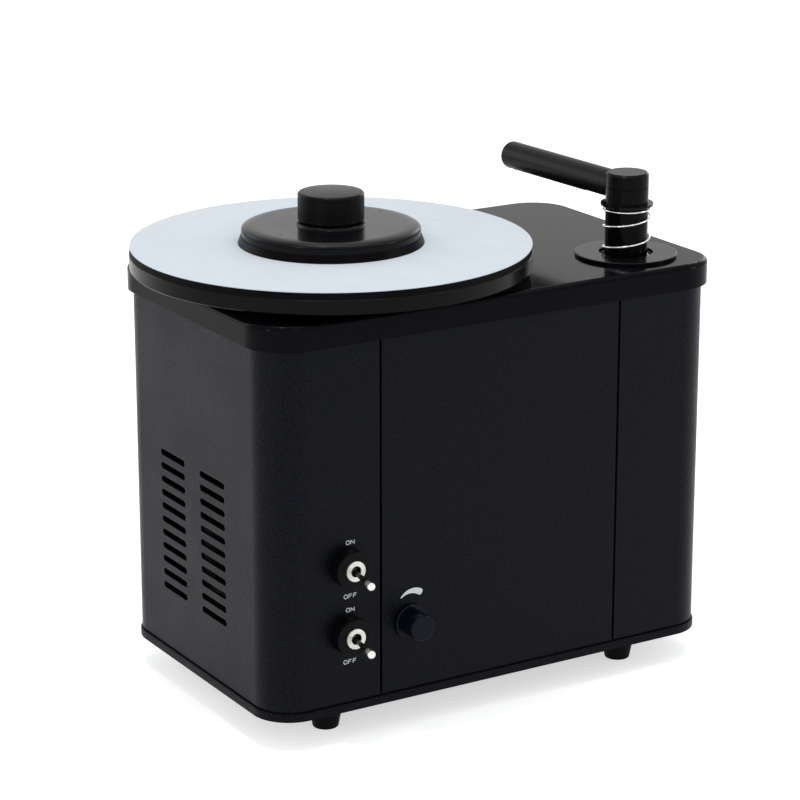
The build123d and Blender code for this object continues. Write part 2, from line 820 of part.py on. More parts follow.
# ---------------------------------------------------------------- record clamp
clamp_top = mat_top + clamp_height
hub_top = clamp_top + clamp_hub_height
knob_z = hub_top + knob_gap
seal_step = seal_height + press_fit
knob_screw_z = knob_z - knob_screw_length
collet_z = mat_top + 2 * loose_gap
collet_length = knob_screw_z - loose_gap - collet_z

with BuildPart() as clamp_disc:
    with BuildSketch(platter_plane):
        with BuildLine():
            bore = collet_radius + screw_fit
            groove_z = mat_top + clamp_band_height
            step_z = mat_top + seal_step
            floor_z = mat_top + loose_gap
            hub_neck = clamp_hub_radius - clamp_cove
            Polyline(
                (bore, floor_z),
                (seal_inner_radius - press_fit, floor_z),
                (seal_inner_radius - press_fit, step_z),
                (clamp_radius, step_z),
                (clamp_radius, groove_z - clamp_groove),
                (clamp_radius - clamp_groove, groove_z - clamp_groove),
                (clamp_radius - clamp_groove, groove_z),
                (clamp_radius, groove_z),
            )
            EllipticalCenterArc(
                (clamp_flat_radius, groove_z),
                clamp_radius - clamp_flat_radius,
                clamp_top - groove_z,
                start_angle=0,
                arc_size=90,
            )
            Line((clamp_flat_radius, clamp_top), (clamp_hub_radius, clamp_top))
            RadiusArc((clamp_hub_radius, clamp_top), (hub_neck, clamp_top + clamp_cove), clamp_cove)
            Polyline(
                (hub_neck, clamp_top + clamp_cove),
                (hub_neck, hub_top),
                (bore, hub_top),
                (bore, floor_z),
            )
        make_face()
    revolve(axis=platter_axis)
    dimple_points = around(platter_x, platter_y, clamp_dimple_circle, 2, clamp_dimple_start)
    with Locations(at_height(dimple_points, clamp_top)):
        Sphere(clamp_dimple_radius, mode=Mode.SUBTRACT)
save(clamp_disc.part, "clamp_disc")

with BuildPart() as clamp_seal:
    with BuildSketch(platter_plane):
        with BuildLine():
            Polyline(
                (seal_inner_radius, mat_top + face_play),
                (seal_radius, mat_top + face_play),
                (clamp_radius + clamp_groove, mat_top + seal_height),
                (seal_inner_radius, mat_top + seal_height),
                close=True,
            )
        make_face()
    revolve(axis=platter_axis)
save(clamp_seal.part, "clamp_seal")

with BuildPart() as clamp_collet:
    with Locations((platter_x, platter_y, collet_z)):
        Cylinder(collet_radius, collet_length, align=UP)
        Cylinder(record_pin_radius + running_fit, collet_length, align=UP, mode=Mode.SUBTRACT)
    slit_circle = (record_pin_radius + collet_radius) / 2
    slit_points = around(platter_x, platter_y, slit_circle, collet_slit_count)
    with Locations(at_height(slit_points, collet_z)):
        Cylinder(collet_slit_radius, collet_slit_depth, align=UP, mode=Mode.SUBTRACT)
save(clamp_collet.part, "clamp_collet")

with BuildPart() as clamp_knob:
    with Locations((platter_x, platter_y, knob_z)):
        Cylinder(knob_radius, knob_height, align=UP)
    chamfer(clamp_knob.edges().group_by(Axis.Z)[-1], knob_chamfer)
    chamfer(clamp_knob.edges().group_by(Axis.Z)[0], knob_chamfer / 2)
    with Locations((platter_x, platter_y, knob_z)):
        Cylinder(knob_screw_radius, knob_screw_length, align=DOWN)
save(clamp_knob.part, "clamp_knob")

# ---------------------------------------------------------------- suction arm: fixed parts
with BuildPart() as escutcheon:
    with Locations((arm_x, arm_y, surface)):
        Cylinder(escutcheon_radius, escutcheon_thickness, align=UP)
        Cylinder(escutcheon_bore, escutcheon_thickness, align=UP, mode=Mode.SUBTRACT)
    fillet(escutcheon.edges().group_by(Axis.Z)[-1].sort_by(SortBy.LENGTH)[-1], escutcheon_round)
save(escutcheon.part, "escutcheon")

stop_z = surface - stop_groove_drop
pin_tip = swivel_radius - stop_groove_depth + loose_gap
with BuildPart() as guide_sleeve:
    with BuildSketch(arm_plane):
        with BuildLine():
            bore = swivel_radius + running_fit
            Polyline(
                (sleeve_lip_radius, sleeve_z),
                (sleeve_outer, sleeve_z),
                (sleeve_outer, plate_z - sleeve_flange_thickness),
                (sleeve_flange_radius, plate_z - sleeve_flange_thickness),
                (sleeve_flange_radius, plate_z),
                (sleeve_outer, plate_z),
                (sleeve_outer, surface),
                (bore, surface),
                (bore, sleeve_z + sleeve_lip_height),
                (sleeve_lip_radius, sleeve_z + sleeve_lip_height),
                close=True,
            )
        make_face()
    revolve(axis=arm_axis)
    with Locations(at_height(sleeve_points, plate_z)):
        Cylinder(m4_radius + screw_fit, sleeve_flange_thickness, align=DOWN, mode=Mode.SUBTRACT)
    with BuildSketch(Plane.YZ.offset(arm_x)):
        with Locations((arm_y, stop_z)):
            Circle(stop_pin_radius + press_fit)
    extrude(amount=sleeve_outer, mode=Mode.SUBTRACT)
    with BuildSketch(Plane.YZ.offset(arm_x + pin_tip)):
        with Locations((arm_y, stop_z)):
            Circle(stop_pin_radius)
    extrude(amount=sleeve_outer - pin_tip)
save(guide_sleeve.part, "guide_sleeve")

# ---------------------------------------------------------------- suction arm: swivel bush and spring
pin_half_angle = degrees((stop_pin_radius + loose_gap) / pin_tip)
groove_start = -swing_in - pin_half_angle
groove_sweep = swing_back + swing_in + 2 * pin_half_angle
key_plane = upright(arm_x, arm_y, arm_park_angle)
key_body = key_width - 2 * screw_fit
keyway_radius = post_radius + key_stand + loose_gap

with BuildPart() as swivel_bush:
    with Locations((arm_x, arm_y, swivel_z)):
        Cylinder(swivel_radius, swivel_top - swivel_z, align=UP)
        Cylinder(post_radius + running_fit, swivel_top - swivel_z, align=UP, mode=Mode.SUBTRACT)
    with BuildSketch(Plane(origin=(arm_x, arm_y, swivel_z), x_dir=arm_line, z_dir=(0, 0, 1))):
        with Locations((keyway_radius / 2, 0)):
            Rectangle(keyway_radius, key_width + screw_fit)
    extrude(amount=swivel_top - swivel_z, mode=Mode.SUBTRACT)
    with BuildSketch(upright(arm_x, arm_y, groove_start)):
        with Locations((swivel_radius, stop_z)):
            Rectangle(2 * stop_groove_depth, 2 * (stop_pin_radius + loose_gap))
    revolve(axis=arm_axis, revolution_arc=groove_sweep, mode=Mode.SUBTRACT)
save(swivel_bush.part, "swivel_bush")

wire_radius = spring_wire / 2
spring_radius = post_radius + spring_gap + wire_radius
coil_lead = spring_wire + spring_coil_gap
spring_low = swivel_top + wire_radius + face_play
spring_high = collar_z - wire_radius - 2 * face_play
open_low = spring_low + coil_lead
open_high = spring_high - coil_lead
open_height = open_high - open_low
open_turns = open_height / spring_pitch
open_end = spring_start + open_turns * 360

with BuildPart() as arm_spring:
    for coil_z, coil_pitch, coil_height, coil_start in (
        (spring_low, coil_lead, coil_lead, spring_start),
        (open_low, spring_pitch, open_height, spring_start),
        (open_high, coil_lead, coil_lead, open_end),
    ):
        with BuildLine(Plane((arm_x, arm_y, coil_z)).rotated((0, 0, coil_start))) as coil:
            Helix(coil_pitch, coil_height, spring_radius)
        with BuildSketch(Plane(coil.line @ 0, z_dir=coil.line % 0)) as wire:
            Circle(wire_radius)
        sweep(wire.sketch, path=coil.line, is_frenet=True)
        with Locations(coil.line @ 1):
            Sphere(wire_radius)
save(arm_spring.part, "arm_spring")

# ---------------------------------------------------------------- suction arm: moving parts
ring_z = sleeve_z - ring_drop - ring_thickness
with BuildPart() as arm_post:
    with BuildSketch(arm_plane):
        with BuildLine():
            groove_radius = post_radius - ring_groove
            Polyline(
                (post_bore, post_z),
                (post_radius, post_z),
                (post_radius, ring_z),
                (groove_radius, ring_z),
                (groove_radius, ring_z + ring_thickness),
                (post_radius, ring_z + ring_thickness),
                (post_radius, collar_z),
                (post_neck, collar_z),
                (post_neck, head_z),
                (post_bore, head_z),
                close=True,
            )
        make_face()
    revolve(axis=arm_axis)
    key_z = surface - key_drop
    with BuildSketch(key_plane.offset(-key_width / 2)):
        with Locations((post_radius, key_z)):
            Rectangle(2 * key_depth, key_length)
    extrude(amount=key_width, mode=Mode.SUBTRACT)
    with BuildSketch(key_plane.offset(-key_body / 2)):
        with Locations((post_radius - key_depth + (key_depth + key_stand) / 2, key_z)):
            Rectangle(key_depth + key_stand - screw_fit, key_length - screw_fit)
    extrude(amount=key_body)
save(arm_post.part, "arm_post")

with BuildPart() as retaining_ring:
    with Locations((arm_x, arm_y, ring_z + face_play / 2)):
        Cylinder(ring_radius, ring_thickness - face_play, align=UP)
        Cylinder(
            post_radius - ring_groove + screw_fit, ring_thickness, align=UP, mode=Mode.SUBTRACT
        )
save(retaining_ring.part, "retaining_ring")

with BuildPart() as spring_collar:
    with BuildSketch(arm_plane):
        with BuildLine():
            Polyline(
                (post_neck + screw_fit, collar_z),
                (collar_foot_radius, collar_z),
                (collar_radius, collar_z + collar_taper),
                (collar_radius, collar_top),
                (post_neck + screw_fit, collar_top),
                close=True,
            )
        make_face()
    revolve(axis=arm_axis)
save(spring_collar.part, "spring_collar")


def across_arm(distance):
    """Plane across the arm's tube, at a distance from the post's axis; its local y is up."""
    origin = Vector(arm_x, arm_y, arm_z) + arm_line * distance
    return Plane(origin=origin, x_dir=(-arm_line.Y, arm_line.X, 0), z_dir=arm_line)


socket_radius = arm_tube_radius + screw_fit
with BuildPart() as arm_head:
    with Locations((arm_x, arm_y, head_z)):
        Cylinder(post_radius, seam_z - head_seam - head_z, align=UP)
        Cylinder(post_bore - screw_fit, head_spigot_length, align=DOWN)
    with Locations((arm_x, arm_y, head_z - head_spigot_length)):
        cavity_height = head_height + head_spigot_length
        Cylinder(head_cavity_radius, cavity_height, align=UP, mode=Mode.SUBTRACT)
    with BuildSketch(across_arm(0)):
        Circle(socket_radius)
    extrude(amount=post_radius + cut_past, mode=Mode.SUBTRACT)
save(arm_head.part, "arm_head")

with BuildPart() as head_cap:
    with Locations((arm_x, arm_y, seam_z)):
        Cylinder(post_radius, head_cap_height, align=UP)
    chamfer(head_cap.edges().group_by(Axis.Z)[-1], head_chamfer)
    with Locations((arm_x, arm_y, seam_z)):
        roof_depth = head_cap_height - head_roof
        Cylinder(head_cavity_radius, roof_depth, align=UP, mode=Mode.SUBTRACT)
        Cylinder(head_cavity_radius + head_cavity_step, head_seam, align=DOWN)
        Cylinder(head_cavity_radius, head_seam, align=DOWN, mode=Mode.SUBTRACT)
    with BuildSketch(across_arm(0)):
        Circle(socket_radius)
    extrude(amount=post_radius + cut_past, mode=Mode.SUBTRACT)
save(head_cap.part, "head_cap")

tube_end = arm_length - arm_cap_thickness
slot_end = arm_length - arm_slot_end_margin
flat_y = -(arm_tube_radius - arm_flat_depth)


def arm_section(radius, start, length, mode=Mode.ADD):
    """A round bar along the arm's axis."""
    with BuildSketch(across_arm(start)) as section:
        Circle(radius)
    extrude(section.sketch, amount=length, mode=mode)


def under_arm(offsets, width, low_y, high_y, start, length, mode=Mode.ADD):
    """Bars along the arm, between two heights below its axis."""
    with BuildSketch(across_arm(start)) as section:
        with Locations([(offset, (low_y + high_y) / 2) for offset in offsets]):
            Rectangle(width, high_y - low_y)
    extrude(section.sketch, amount=length, mode=mode)


with BuildPart() as arm_tube:
    arm_section(arm_tube_radius, arm_tube_start, tube_end - arm_tube_start)
    arm_section(arm_tube_bore, arm_tube_start, tube_end - arm_tube_start, Mode.SUBTRACT)
    flat_start = post_radius + cut_past
    flat_length = tube_end - flat_start
    low = -arm_tube_radius
    under_arm([0], 2 * arm_tube_radius, low, flat_y, flat_start, flat_length, Mode.SUBTRACT)
    slot_length = slot_end - arm_slot_start
    under_arm([0], arm_slot_width, low, 0, arm_slot_start, slot_length, Mode.SUBTRACT)
save(arm_tube.part, "arm_tube")

with BuildPart() as arm_end_cap:
    arm_section(arm_tube_radius, tube_end, arm_cap_thickness)
    fillet(arm_end_cap.edges().sort_by_distance((arm_x, arm_y, arm_z))[-1], arm_cap_round)
    arm_section(arm_tube_bore - screw_fit, tube_end - arm_cap_plug, arm_cap_plug)
save(arm_end_cap.part, "arm_end_cap")

velvet_offset = arm_slot_width / 2 + velvet_width / 2 + screw_fit
with BuildPart() as velvet_strips:
    strip_low = flat_y - velvet_thickness
    strip_offsets = [-velvet_offset, velvet_offset]
    strip_start = arm_slot_start - velvet_margin
    strip_length = slot_length + 2 * velvet_margin
    under_arm(strip_offsets, velvet_width, strip_low, flat_y, strip_start, strip_length)
save(velvet_strips.part, "velvet_strips")

# ---------------------------------------------------------------- tank and drain
with BuildPart() as tank:
    with BuildSketch(Plane.XY.offset(tank_z)):
        with Locations((tank_x, tank_y)):
            RectangleRounded(tank_length, tank_depth, tank_corner)
    extrude(amount=tank_height)
    with BuildSketch(Plane.XY.offset(tank_z + tank_wall)):
        with Locations((tank_x, tank_y)):
            wall = 2 * tank_wall
            RectangleRounded(tank_length - wall, tank_depth - wall, tank_corner - tank_wall)
    extrude(amount=tank_height - tank_wall, mode=Mode.SUBTRACT)
    tank_back = tank_y + tank_depth / 2
    with BuildSketch(Plane.XZ.offset(-tank_back)):
        with Locations((drain_x, drain_z)):
            Circle(drain_radius + press_fit)
    extrude(amount=tank_wall, mode=Mode.SUBTRACT)
save(tank.part, "tank")

with BuildPart() as tank_lid:
    with BuildSketch(Plane.XY.offset(lid_z)):
        with Locations((tank_x, tank_y)):
            RectangleRounded(tank_length, tank_depth, tank_corner)
    extrude(amount=lid_thickness)
    with Locations((arm_x, arm_y, lid_top)):
        Cylinder(neck_radius + neck_wall, neck_height, align=UP)
    with Locations((barb_x, vacuum_y, lid_top)):
        Cylinder(barb_radius, barb_height, align=UP)
    with Locations((arm_x, arm_y, lid_z)):
        Cylinder(neck_radius, lid_thickness + neck_height, align=UP, mode=Mode.SUBTRACT)
    with Locations((barb_x, vacuum_y, lid_z)):
        Cylinder(barb_bore, lid_thickness + barb_height, align=UP, mode=Mode.SUBTRACT)
save(tank_lid.part, "tank_lid")

with BuildPart() as lip_seal:
    with Locations((arm_x, arm_y, lid_top + neck_height)):
        Cylinder(neck_radius + neck_wall, seal_thickness, align=UP)
        Cylinder(post_radius + running_fit, seal_thickness, align=UP, mode=Mode.SUBTRACT)
save(lip_seal.part, "lip_seal")

drain_start = tank_back - tank_wall
drain_shoulder = rear_panel_y + drain_nut_thickness
drain_end = rear_panel_y + drain_reach
with BuildPart() as drain_pipe:
    with BuildSketch(Plane.XZ.offset(-drain_start)):
        with Locations((drain_x, drain_z)):
            Circle(drain_radius)
    extrude(amount=drain_start - drain_shoulder)
    with BuildSketch(Plane.XZ.offset(-drain_shoulder)):
        with Locations((drain_x, drain_z)):
            Circle(spigot_radius)
    extrude(amount=drain_shoulder - drain_end)
    with BuildSketch(Plane.XZ.offset(-drain_start)):
        with Locations((drain_x, drain_z)):
            Circle(drain_bore)
    extrude(amount=drain_start - drain_end, mode=Mode.SUBTRACT)
save(drain_pipe.part, "drain_pipe")

with BuildPart() as drain_plug:
    with BuildSketch(Plane.XZ.offset(-drain_end + plug_length)):
        with Locations((drain_x, drain_z)):
            Circle(drain_bore - running_fit)
    extrude(amount=-plug_length)
    with BuildSketch(Plane.XZ.offset(-drain_end - face_play)):
        with Locations((drain_x, drain_z)):
            Circle(plug_head_radius)
    extrude(amount=-plug_head_length)
    with BuildSketch(Plane.XZ.offset(-drain_end)):
        with Locations((drain_x, drain_z)):
            Circle(drain_bore - running_fit)
    extrude(amount=-face_play)
save(drain_plug.part, "drain_plug")

# ---------------------------------------------------------------- vacuum
with BuildPart() as vacuum_motor:
    with Locations((vacuum_x, vacuum_y, vacuum_motor_z)):
        Cylinder(vacuum_motor_radius, vacuum_motor_length, align=UP)
    fillet(vacuum_motor.edges().group_by(Axis.Z)[0], vacuum_motor_round)
    with Locations((vacuum_x, vacuum_y, fan_z)):
        Cylinder(vacuum_shaft_radius + running_fit, vacuum_motor_bore, align=DOWN, mode=Mode.SUBTRACT)
save(vacuum_motor.part, "vacuum_motor")

cavity_z = fan_z + fan_wall
with BuildPart() as fan_housing:
    with Locations((vacuum_x, vacuum_y, fan_z)):
        Cylinder(fan_radius, fan_height, align=UP)
        Cylinder(vacuum_shaft_radius + loose_gap, fan_height, align=UP, mode=Mode.SUBTRACT)
    with Locations((vacuum_x, vacuum_y, cavity_z)):
        Cylinder(fan_radius - fan_wall, fan_height, align=UP, mode=Mode.SUBTRACT)
save(fan_housing.part, "fan_housing")

with BuildPart() as fan_cover:
    with Locations((vacuum_x, vacuum_y, fan_top)):
        Cylinder(fan_radius, fan_cover_thickness, align=UP)
        Cylinder(barb_radius, fan_cover_thickness + inlet_height, align=UP)
        Cylinder(
            barb_bore, fan_cover_thickness + inlet_height, align=UP, mode=Mode.SUBTRACT
        )
save(fan_cover.part, "fan_cover")

impeller_z = cavity_z + (fan_height - fan_wall - impeller_height) / 2
impeller_top = impeller_z + impeller_height
with BuildPart() as impeller:
    with Locations((vacuum_x, vacuum_y, impeller_z)):
        Cylinder(impeller_radius, impeller_plate, align=UP)
        Cylinder(impeller_hub_radius, impeller_hub_height, align=UP)
    with BuildSketch(Plane.XY.offset(impeller_z)):
        with Locations((vacuum_x, vacuum_y)):
            with PolarLocations(impeller_eye_radius, blade_count):
                Rectangle(
                    blade_length,
                    blade_thickness,
                    rotation=blade_lean,
                    align=(Align.MIN, Align.CENTER),
                )
            Circle(impeller_radius, mode=Mode.INTERSECT)
    extrude(amount=impeller_height - impeller_plate)
    with BuildSketch(Plane.XY.offset(impeller_top - impeller_plate)):
        with Locations((vacuum_x, vacuum_y)):
            Circle(impeller_radius)
            Circle(impeller_eye_radius, mode=Mode.SUBTRACT)
    extrude(amount=impeller_plate)
    with Locations((vacuum_x, vacuum_y, impeller_z)):
        Cylinder(vacuum_shaft_radius + press_fit, impeller_height, align=UP, mode=Mode.SUBTRACT)
    shaft_z = fan_z - vacuum_motor_bore + loose_gap
    with Locations((vacuum_x, vacuum_y, shaft_z)):
        Cylinder(vacuum_shaft_radius, impeller_z + impeller_hub_height - shaft_z, align=UP)
save(impeller.part, "impeller")

leg_points = around(vacuum_x, vacuum_y, vacuum_leg_circle, vacuum_leg_count, vacuum_leg_start)
with BuildPart() as vacuum_bracket:
    with BuildSketch(Plane.XY.offset(fan_z - vacuum_ring_thickness)):
        with Locations((vacuum_x, vacuum_y)):
            Circle(vacuum_ring_radius)
            Circle(vacuum_motor_radius + vacuum_ring_room, mode=Mode.SUBTRACT)
    extrude(amount=vacuum_ring_thickness)
    with Locations(at_height(leg_points, pad_top)):
        Cylinder(vacuum_leg_radius, fan_z - vacuum_ring_thickness - pad_top, align=UP)
save(vacuum_bracket.part, "vacuum_bracket")

with BuildPart() as vacuum_mounts:
    with Locations(at_height(leg_points, body_z)):
        Cylinder(vacuum_pad_radius, vacuum_pad_height, align=UP)
save(vacuum_mounts.part, "vacuum_mounts")

with BuildPart() as vacuum_hose:
    with BuildLine() as hose_path:
        FilletPolyline(
            (vacuum_x, vacuum_y, cover_top),
            (vacuum_x, vacuum_y, hose_level),
            (barb_x, vacuum_y, hose_level),
            (barb_x, vacuum_y, lid_top),
            radius=hose_bend,
        )
    with BuildSketch(Plane.XY.offset(cover_top)):
        with Locations((vacuum_x, vacuum_y)):
            Circle(hose_radius)
            Circle(hose_radius - hose_wall, mode=Mode.SUBTRACT)
    sweep(path=hose_path.line)
save(vacuum_hose.part, "vacuum_hose")

# ---------------------------------------------------------------- toggle switches
boss_front = front_y - boss_length
pivot_y = boss_front + lever_pivot_depth
lever_reach = lever_length + lever_pivot_depth
lever_bore_y = pivot_y + lever_pivot_radius + loose_gap
lever_dip = radians(lever_tilt)
switches = {"turntable": switch_low_z + switch_pitch, "vacuum": switch_low_z}

switch_points = [(switch_x, switch_z) for switch_z in switches.values()]

with BuildPart() as switch_bosses:
    with BuildSketch(Plane.XZ.offset(-front_y)):
        with Locations(switch_points):
            Circle(boss_radius)
    extrude(amount=boss_length)
    fillet(switch_bosses.edges().group_by(Axis.Y)[0], boss_round)
    with BuildSketch(Plane.XZ.offset(-front_y)):
        with Locations(switch_points):
            Circle(switch_bushing_radius + screw_fit)
    extrude(amount=boss_length, mode=Mode.SUBTRACT)
save(switch_bosses.part, "switch_bosses")

with BuildPart() as switch_bodies:
    with BuildSketch(Plane.XZ.offset(inner_y)):
        with Locations(switch_points):
            Rectangle(switch_body_width, switch_body_height)
    extrude(amount=-switch_body_depth)
    with BuildSketch(Plane.XZ.offset(inner_y)):
        with Locations(switch_points):
            Circle(switch_bushing_radius)
    extrude(amount=shell_wall + boss_length)
    with BuildSketch(Plane.XZ.offset(-lever_bore_y)):
        with Locations(switch_points):
            Circle(switch_bushing_bore)
    extrude(amount=lever_reach, mode=Mode.SUBTRACT)
    with BuildSketch(Plane.XZ.offset(inner_y - switch_body_depth)):
        with Locations(switch_points):
            with GridLocations(1, terminal_pitch, 1, 3):
                Rectangle(terminal_height, terminal_width)
    extrude(amount=-terminal_length)
save(switch_bodies.part, "switch_bodies")

for switch_name, switch_z in switches.items():
    lever_plane = Plane(
        origin=(switch_x, pivot_y, switch_z),
        x_dir=(1, 0, 0),
        z_dir=(0, -cos(lever_dip), -sin(lever_dip)),
    )
    with BuildPart(lever_plane) as switch_lever:
        Sphere(lever_pivot_radius)
        Cone(lever_root_radius, lever_neck_radius, lever_reach, align=UP)
        with Locations((0, 0, lever_reach)):
            Sphere(lever_ball_radius)
    save(switch_lever.part, f"{switch_name}_lever")

# ---------------------------------------------------------------- speed control
speed_back = front_y - speed_panel_gap
speed_front = front_y - speed_length
nut_face = front_y - pot_nut_thickness
with BuildPart() as speed_knob:
    with BuildSketch(Plane.XZ.offset(-speed_back)):
        with Locations((speed_x, speed_z)):
            Circle(speed_skirt_radius)
    extrude(amount=speed_skirt_length)
    chamfer(speed_knob.edges().group_by(Axis.Y)[0], speed_skirt_chamfer)
    with BuildSketch(Plane.XZ.offset(-speed_back)):
        with Locations((speed_x, speed_z)):
            Circle(speed_cap_radius)
    extrude(amount=speed_back - speed_front)
    fillet(speed_knob.edges().group_by(Axis.Y)[0], speed_round)
    with BuildSketch(Plane.XZ.offset(-speed_back)):
        with Locations((speed_x, speed_z)):
            Circle(speed_recess_radius)
    extrude(amount=pot_nut_thickness + loose_gap, mode=Mode.SUBTRACT)
    with BuildSketch(Plane.XZ.offset(-nut_face)):
        with Locations((speed_x, speed_z)):
            Circle(pot_shaft_radius + press_fit)
    extrude(amount=pot_shaft_length, mode=Mode.SUBTRACT)
    with BuildSketch(Plane.XZ.offset(inner_y - pot_shaft_seat)):
        with Locations((speed_x, speed_z)):
            Circle(pot_shaft_radius)
    extrude(amount=pot_shaft_seat + shell_wall + pot_shaft_length)
save(speed_knob.part, "speed_knob")

with BuildPart() as potentiometer:
    with BuildSketch(Plane.XZ.offset(inner_y)):
        with Locations((speed_x, speed_z)):
            Circle(pot_body_radius)
    extrude(amount=-pot_body_depth)
    with BuildSketch(Plane.XZ.offset(inner_y)):
        with Locations((speed_x, speed_z)):
            Circle(pot_thread_radius)
    extrude(amount=shell_wall + pot_nut_thickness)
    with BuildSketch(Plane.XZ.offset(inner_y - pot_shaft_seat - loose_gap)):
        with Locations((speed_x, speed_z)):
            Circle(pot_shaft_radius + running_fit)
    extrude(amount=pot_body_depth + shell_wall + pot_nut_thickness, mode=Mode.SUBTRACT)
    with BuildSketch(Plane.XY.offset(speed_z - pot_body_radius - terminal_length)):
        with Locations((speed_x, pot_terminal_depth - inner_y)):
            with GridLocations(pot_terminal_pitch, 1, 3, 1):
                Rectangle(2 * terminal_width, terminal_width)
    extrude(amount=terminal_length + pot_terminal_seat)
save(potentiometer.part, "potentiometer")

with BuildPart() as panel_nuts:
    with BuildSketch(Plane.XZ.offset(-boss_front)):
        with Locations(switch_points):
            Circle(switch_nut_radius)
            Circle(switch_bushing_bore, mode=Mode.SUBTRACT)
    extrude(amount=switch_nut_stand)
    with BuildSketch(Plane.XZ.offset(-front_y)):
        with Locations((speed_x, speed_z)):
            RegularPolygon(pot_nut_radius, 6)
            Circle(pot_thread_radius + screw_fit, mode=Mode.SUBTRACT)
    extrude(amount=pot_nut_thickness)
    with BuildSketch(Plane.XZ.offset(-rear_panel_y)):
        with Locations((drain_x, drain_z)):
            RegularPolygon(drain_nut_radius, 6)
            Circle(drain_radius + screw_fit, mode=Mode.SUBTRACT)
    extrude(amount=-drain_nut_thickness)
save(panel_nuts.part, "panel_nuts")

# ---------------------------------------------------------------- control board and power
capacitor_points = [
    (board_x - capacitor_offset, board_y + capacitor_pitch / 2),
    (board_x - capacitor_offset, board_y - capacitor_pitch / 2),
]
with BuildPart() as control_board:
    with BuildSketch(Plane.XY.offset(board_z)):
        with Locations((board_x, board_y)):
            Rectangle(board_length, board_depth)
        with Locations(board_points):
            Circle(m3_radius + screw_fit, mode=Mode.SUBTRACT)
    extrude(amount=board_thickness)
    with Locations(at_height(capacitor_points, board_top)):
        Cylinder(capacitor_radius, capacitor_height, align=UP)
    with Locations((board_x + relay_offset, board_y, board_top)):
        Box(relay_length, relay_depth, relay_height, align=UP)
    with Locations((board_x, board_y - connector_offset, board_top)):
        Box(connector_length, connector_depth, connector_height, align=UP)
    with Locations((board_x, board_y + connector_offset, board_top)):
        Box(connector_length, connector_depth, connector_height, align=UP)
save(control_board.part, "control_board")

with BuildPart() as transformer:
    with Locations((board_x, transformer_y, body_z)):
        Box(transformer_length, transformer_depth, transformer_height, align=UP)
    window = (transformer_length - 4 * core_leg) / 2
    window_height = transformer_height - 2 * core_leg
    window_offset = core_leg + window / 2
    with Locations(
        (board_x - window_offset, transformer_y, body_z + core_leg),
        (board_x + window_offset, transformer_y, body_z + core_leg),
    ):
        Box(window, transformer_depth, window_height, align=UP, mode=Mode.SUBTRACT)
    with BuildSketch(Plane.XY.offset(body_z + core_leg + screw_fit)):
        with Locations((board_x, transformer_y)):
            coil_length = 2 * (core_leg + window - screw_fit)
            Rectangle(coil_length, transformer_depth + 2 * coil_stand)
            Rectangle(
                2 * (core_leg + screw_fit), transformer_depth + 2 * screw_fit, mode=Mode.SUBTRACT
            )
    extrude(amount=window_height - 2 * screw_fit)
save(transformer.part, "transformer")

inlet_face = rear_panel_y + inlet_flange_thickness
pin_points = [
    (inlet_x - inlet_pin_spacing, inlet_z - inlet_pin_rise),
    (inlet_x, inlet_z + inlet_pin_rise),
    (inlet_x + inlet_pin_spacing, inlet_z - inlet_pin_rise),
]
with BuildPart() as mains_inlet:
    with BuildSketch(Plane.XZ.offset(-rear_panel_y)):
        with Locations((inlet_x, inlet_z)):
            RectangleRounded(inlet_flange_width, inlet_flange_height, inlet_flange_corner)
            with GridLocations(inlet_screw_spacing, 1, 2, 1):
                Circle(m3_radius + screw_fit, mode=Mode.SUBTRACT)
    extrude(amount=-inlet_flange_thickness)
    with BuildSketch(Plane.XZ.offset(-rear_panel_y)):
        with Locations((inlet_x, inlet_z)):
            Rectangle(inlet_body_width, inlet_body_height)
    extrude(amount=inlet_body_depth)
    with BuildSketch(Plane.XZ.offset(-inlet_face)):
        with Locations((inlet_x, inlet_z)):
            RectangleRounded(inlet_cavity_width, inlet_cavity_height, inlet_cavity_corner)
    extrude(amount=inlet_cavity_depth, mode=Mode.SUBTRACT)
    with BuildSketch(Plane.XZ.offset(inlet_cavity_depth - inlet_face)):
        with Locations(pin_points):
            Rectangle(inlet_pin_width, inlet_pin_height)
    extrude(amount=-inlet_pin_length)
save(mains_inlet.part, "mains_inlet")

# ---------------------------------------------------------------- machine screws


def rising_screws(points, seat_z, length, radius, head_radius, head_height):
    """Screws whose heads lie under seat_z and whose shanks rise from it."""
    with Locations(at_height(points, seat_z)):
        Cylinder(radius, length, align=UP)
        Cylinder(head_radius, head_height, align=DOWN)


def falling_screws(points, seat_z, length, radius, head_radius, head_height):
    """Screws whose heads lie on seat_z and whose shanks go down from it."""
    with Locations(at_height(points, seat_z)):
        Cylinder(radius, length, align=DOWN)
        Cylinder(head_radius, head_height, align=UP)


